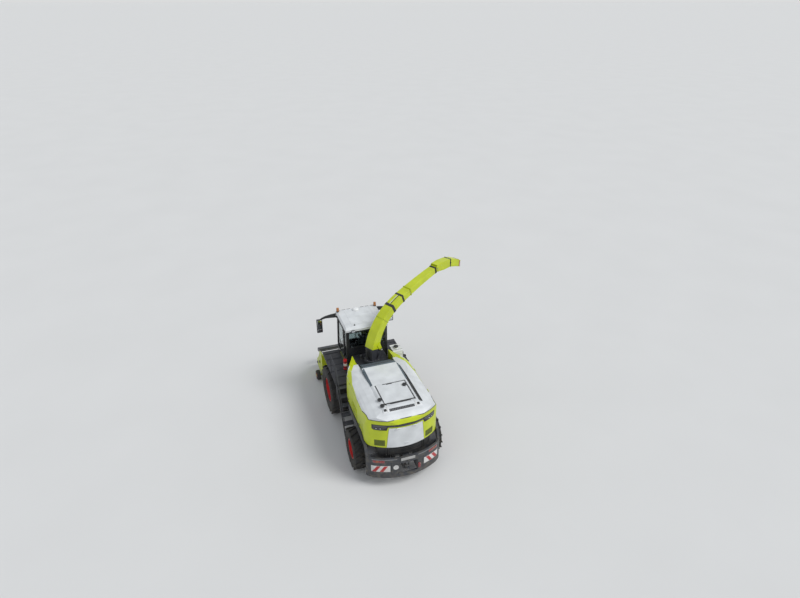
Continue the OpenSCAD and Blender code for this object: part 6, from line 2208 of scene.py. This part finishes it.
@dataclass
class Studio:
    """Floor, light and camera; none of it belongs to the machine."""

    eye: Point = (-19.25, 5.273, 15.667)
    yaw: float = -19.37
    pitch: float = 27.977
    roll: float = -0.051
    focal: float = 564.776
    width: float = 800.0
    distance: Colour = (0.70, 0.71, 0.715)
    floor_half: float = 3000.0
    reach: float = 5000.0

    def build(self) -> None:
        """Adds the floor, the lights and the camera."""
        self.add_floor()
        self.add_world()
        self.add_sun("key", (-7.0, -9.0, 13.0), 26.0, 2.1)
        self.add_sun("fill", (-10.0, 12.0, 8.0), 60.0, 0.35)
        self.add_camera()
        view = bpy.context.scene.view_settings
        view.view_transform = "Standard"

    def add_floor(self) -> None:
        """Adds a wide pale floor with a faint mottle."""
        form = bmesh.new()
        bmesh.ops.create_grid(form, x_segments=8, y_segments=8, size=self.floor_half)
        data = bpy.data.meshes.new("floor")
        form.to_mesh(data)
        form.free()
        floor = bpy.data.objects.new("floor", data)
        bpy.context.scene.collection.objects.link(floor)
        sheet = NodeSheet("floor_pale")
        tone = sheet.spread(sheet.noise(0.25, 3.0), 0.3, 0.7)
        sheet.link(sheet.blend(tone, (0.615, 0.615, 0.605), (0.63, 0.63, 0.62)),
                   sheet.shader.inputs["Base Color"])
        sheet.shader.inputs["Roughness"].default_value = 0.9
        sheet.relief(sheet.noise(60.0, 3.0), 0.08, 0.001)
        data.materials.append(sheet.material)

    def add_world(self) -> None:
        """Sets a soft, pale sky, plain where the camera sees it."""
        world = bpy.data.worlds.new("soft_sky")
        world.use_nodes = True
        tree = world.node_tree
        back = tree.nodes["Background"]
        back.inputs["Color"].default_value = (0.82, 0.86, 0.92, 1.0)
        back.inputs["Strength"].default_value = 0.62
        seen = tree.nodes.new("ShaderNodeBackground")
        seen.inputs["Color"].default_value = (*self.distance, 1.0)
        path = tree.nodes.new("ShaderNodeLightPath")
        mix = tree.nodes.new("ShaderNodeMixShader")
        seen_by = path.outputs["Is Camera Ray"]
        for ray in ("Is Glossy Ray", "Is Transmission Ray"):
            either = tree.nodes.new("ShaderNodeMath")
            either.operation = "MAXIMUM"
            tree.links.new(seen_by, either.inputs[0])
            tree.links.new(path.outputs[ray], either.inputs[1])
            seen_by = either.outputs[0]
        tree.links.new(seen_by, mix.inputs[0])
        tree.links.new(back.outputs[0], mix.inputs[1])
        tree.links.new(seen.outputs[0], mix.inputs[2])
        tree.links.new(mix.outputs[0], tree.nodes["World Output"].inputs["Surface"])
        bpy.context.scene.world = world

    def add_sun(self, name: str, place: Point, spread: float, power: float) -> None:
        """Adds a wide, soft sun that shines from a direction.

        Args:
            name: the lamp's name.
            place: a point it shines from, in the machine's frame.
            spread: its angular size, in degrees.
            power: its strength.
        """
        data = bpy.data.lights.new(name, "SUN")
        data.angle = math.radians(spread)
        data.energy = power
        lamp = bpy.data.objects.new(name, data)
        lamp.location = at(*place)
        aim = -Vector(place)
        lamp.rotation_euler = aim.to_track_quat("-Z", "Y").to_euler()
        bpy.context.scene.collection.objects.link(lamp)

    def add_camera(self) -> None:
        """Adds the camera at the photograph's viewpoint."""
        data = bpy.data.cameras.new("view")
        data.sensor_width = 36.0
        data.lens = self.focal / self.width * 36.0
        data.clip_end = self.reach
        camera = bpy.data.objects.new("view", data)
        p, y, r = (math.radians(a) for a in (self.pitch, self.yaw, self.roll))
        look = Vector((math.cos(p) * math.cos(y),
                       math.cos(p) * math.sin(y), -math.sin(p)))
        right = Vector((math.sin(y), -math.cos(y), 0))
        up = right.cross(look)
        right, up = (right * math.cos(r) - up * math.sin(r),
                     up * math.cos(r) + right * math.sin(r))
        turn = Matrix((right, up, -look)).transposed().to_4x4()
        camera.matrix_world = Matrix.Translation(at(*self.eye)) @ turn
        bpy.context.scene.collection.objects.link(camera)
        bpy.context.scene.camera = camera


@dataclass
class Harvester:
    """The whole machine as a list of sub-assemblies."""

    parts: list[Assembly] = field(default_factory=list)

    @classmethod
    def standard(cls) -> "Harvester":
        """Returns the machine with all its sub-assemblies."""
        wheels = [Wheel(sizes, side) for sizes in (FRONT, REAR) for side in Side]
        return cls([*wheels, Undercarriage(), BodyShell(), Hood(), Tail(), Cab(),
                    Workplace(), Platform(), Spout(), Header()])

    def build(self) -> None:
        """Dresses and builds every sub-assembly."""
        for part in self.parts:
            LOG.info("building %s", type(part).__name__)
            part.dress()
            part.build()


def main() -> None:
    """Builds the machine and the studio."""
    logging.basicConfig(level=logging.INFO)
    Studio().build()
    Harvester.standard().build()


if __name__ == "__main__":
    main()
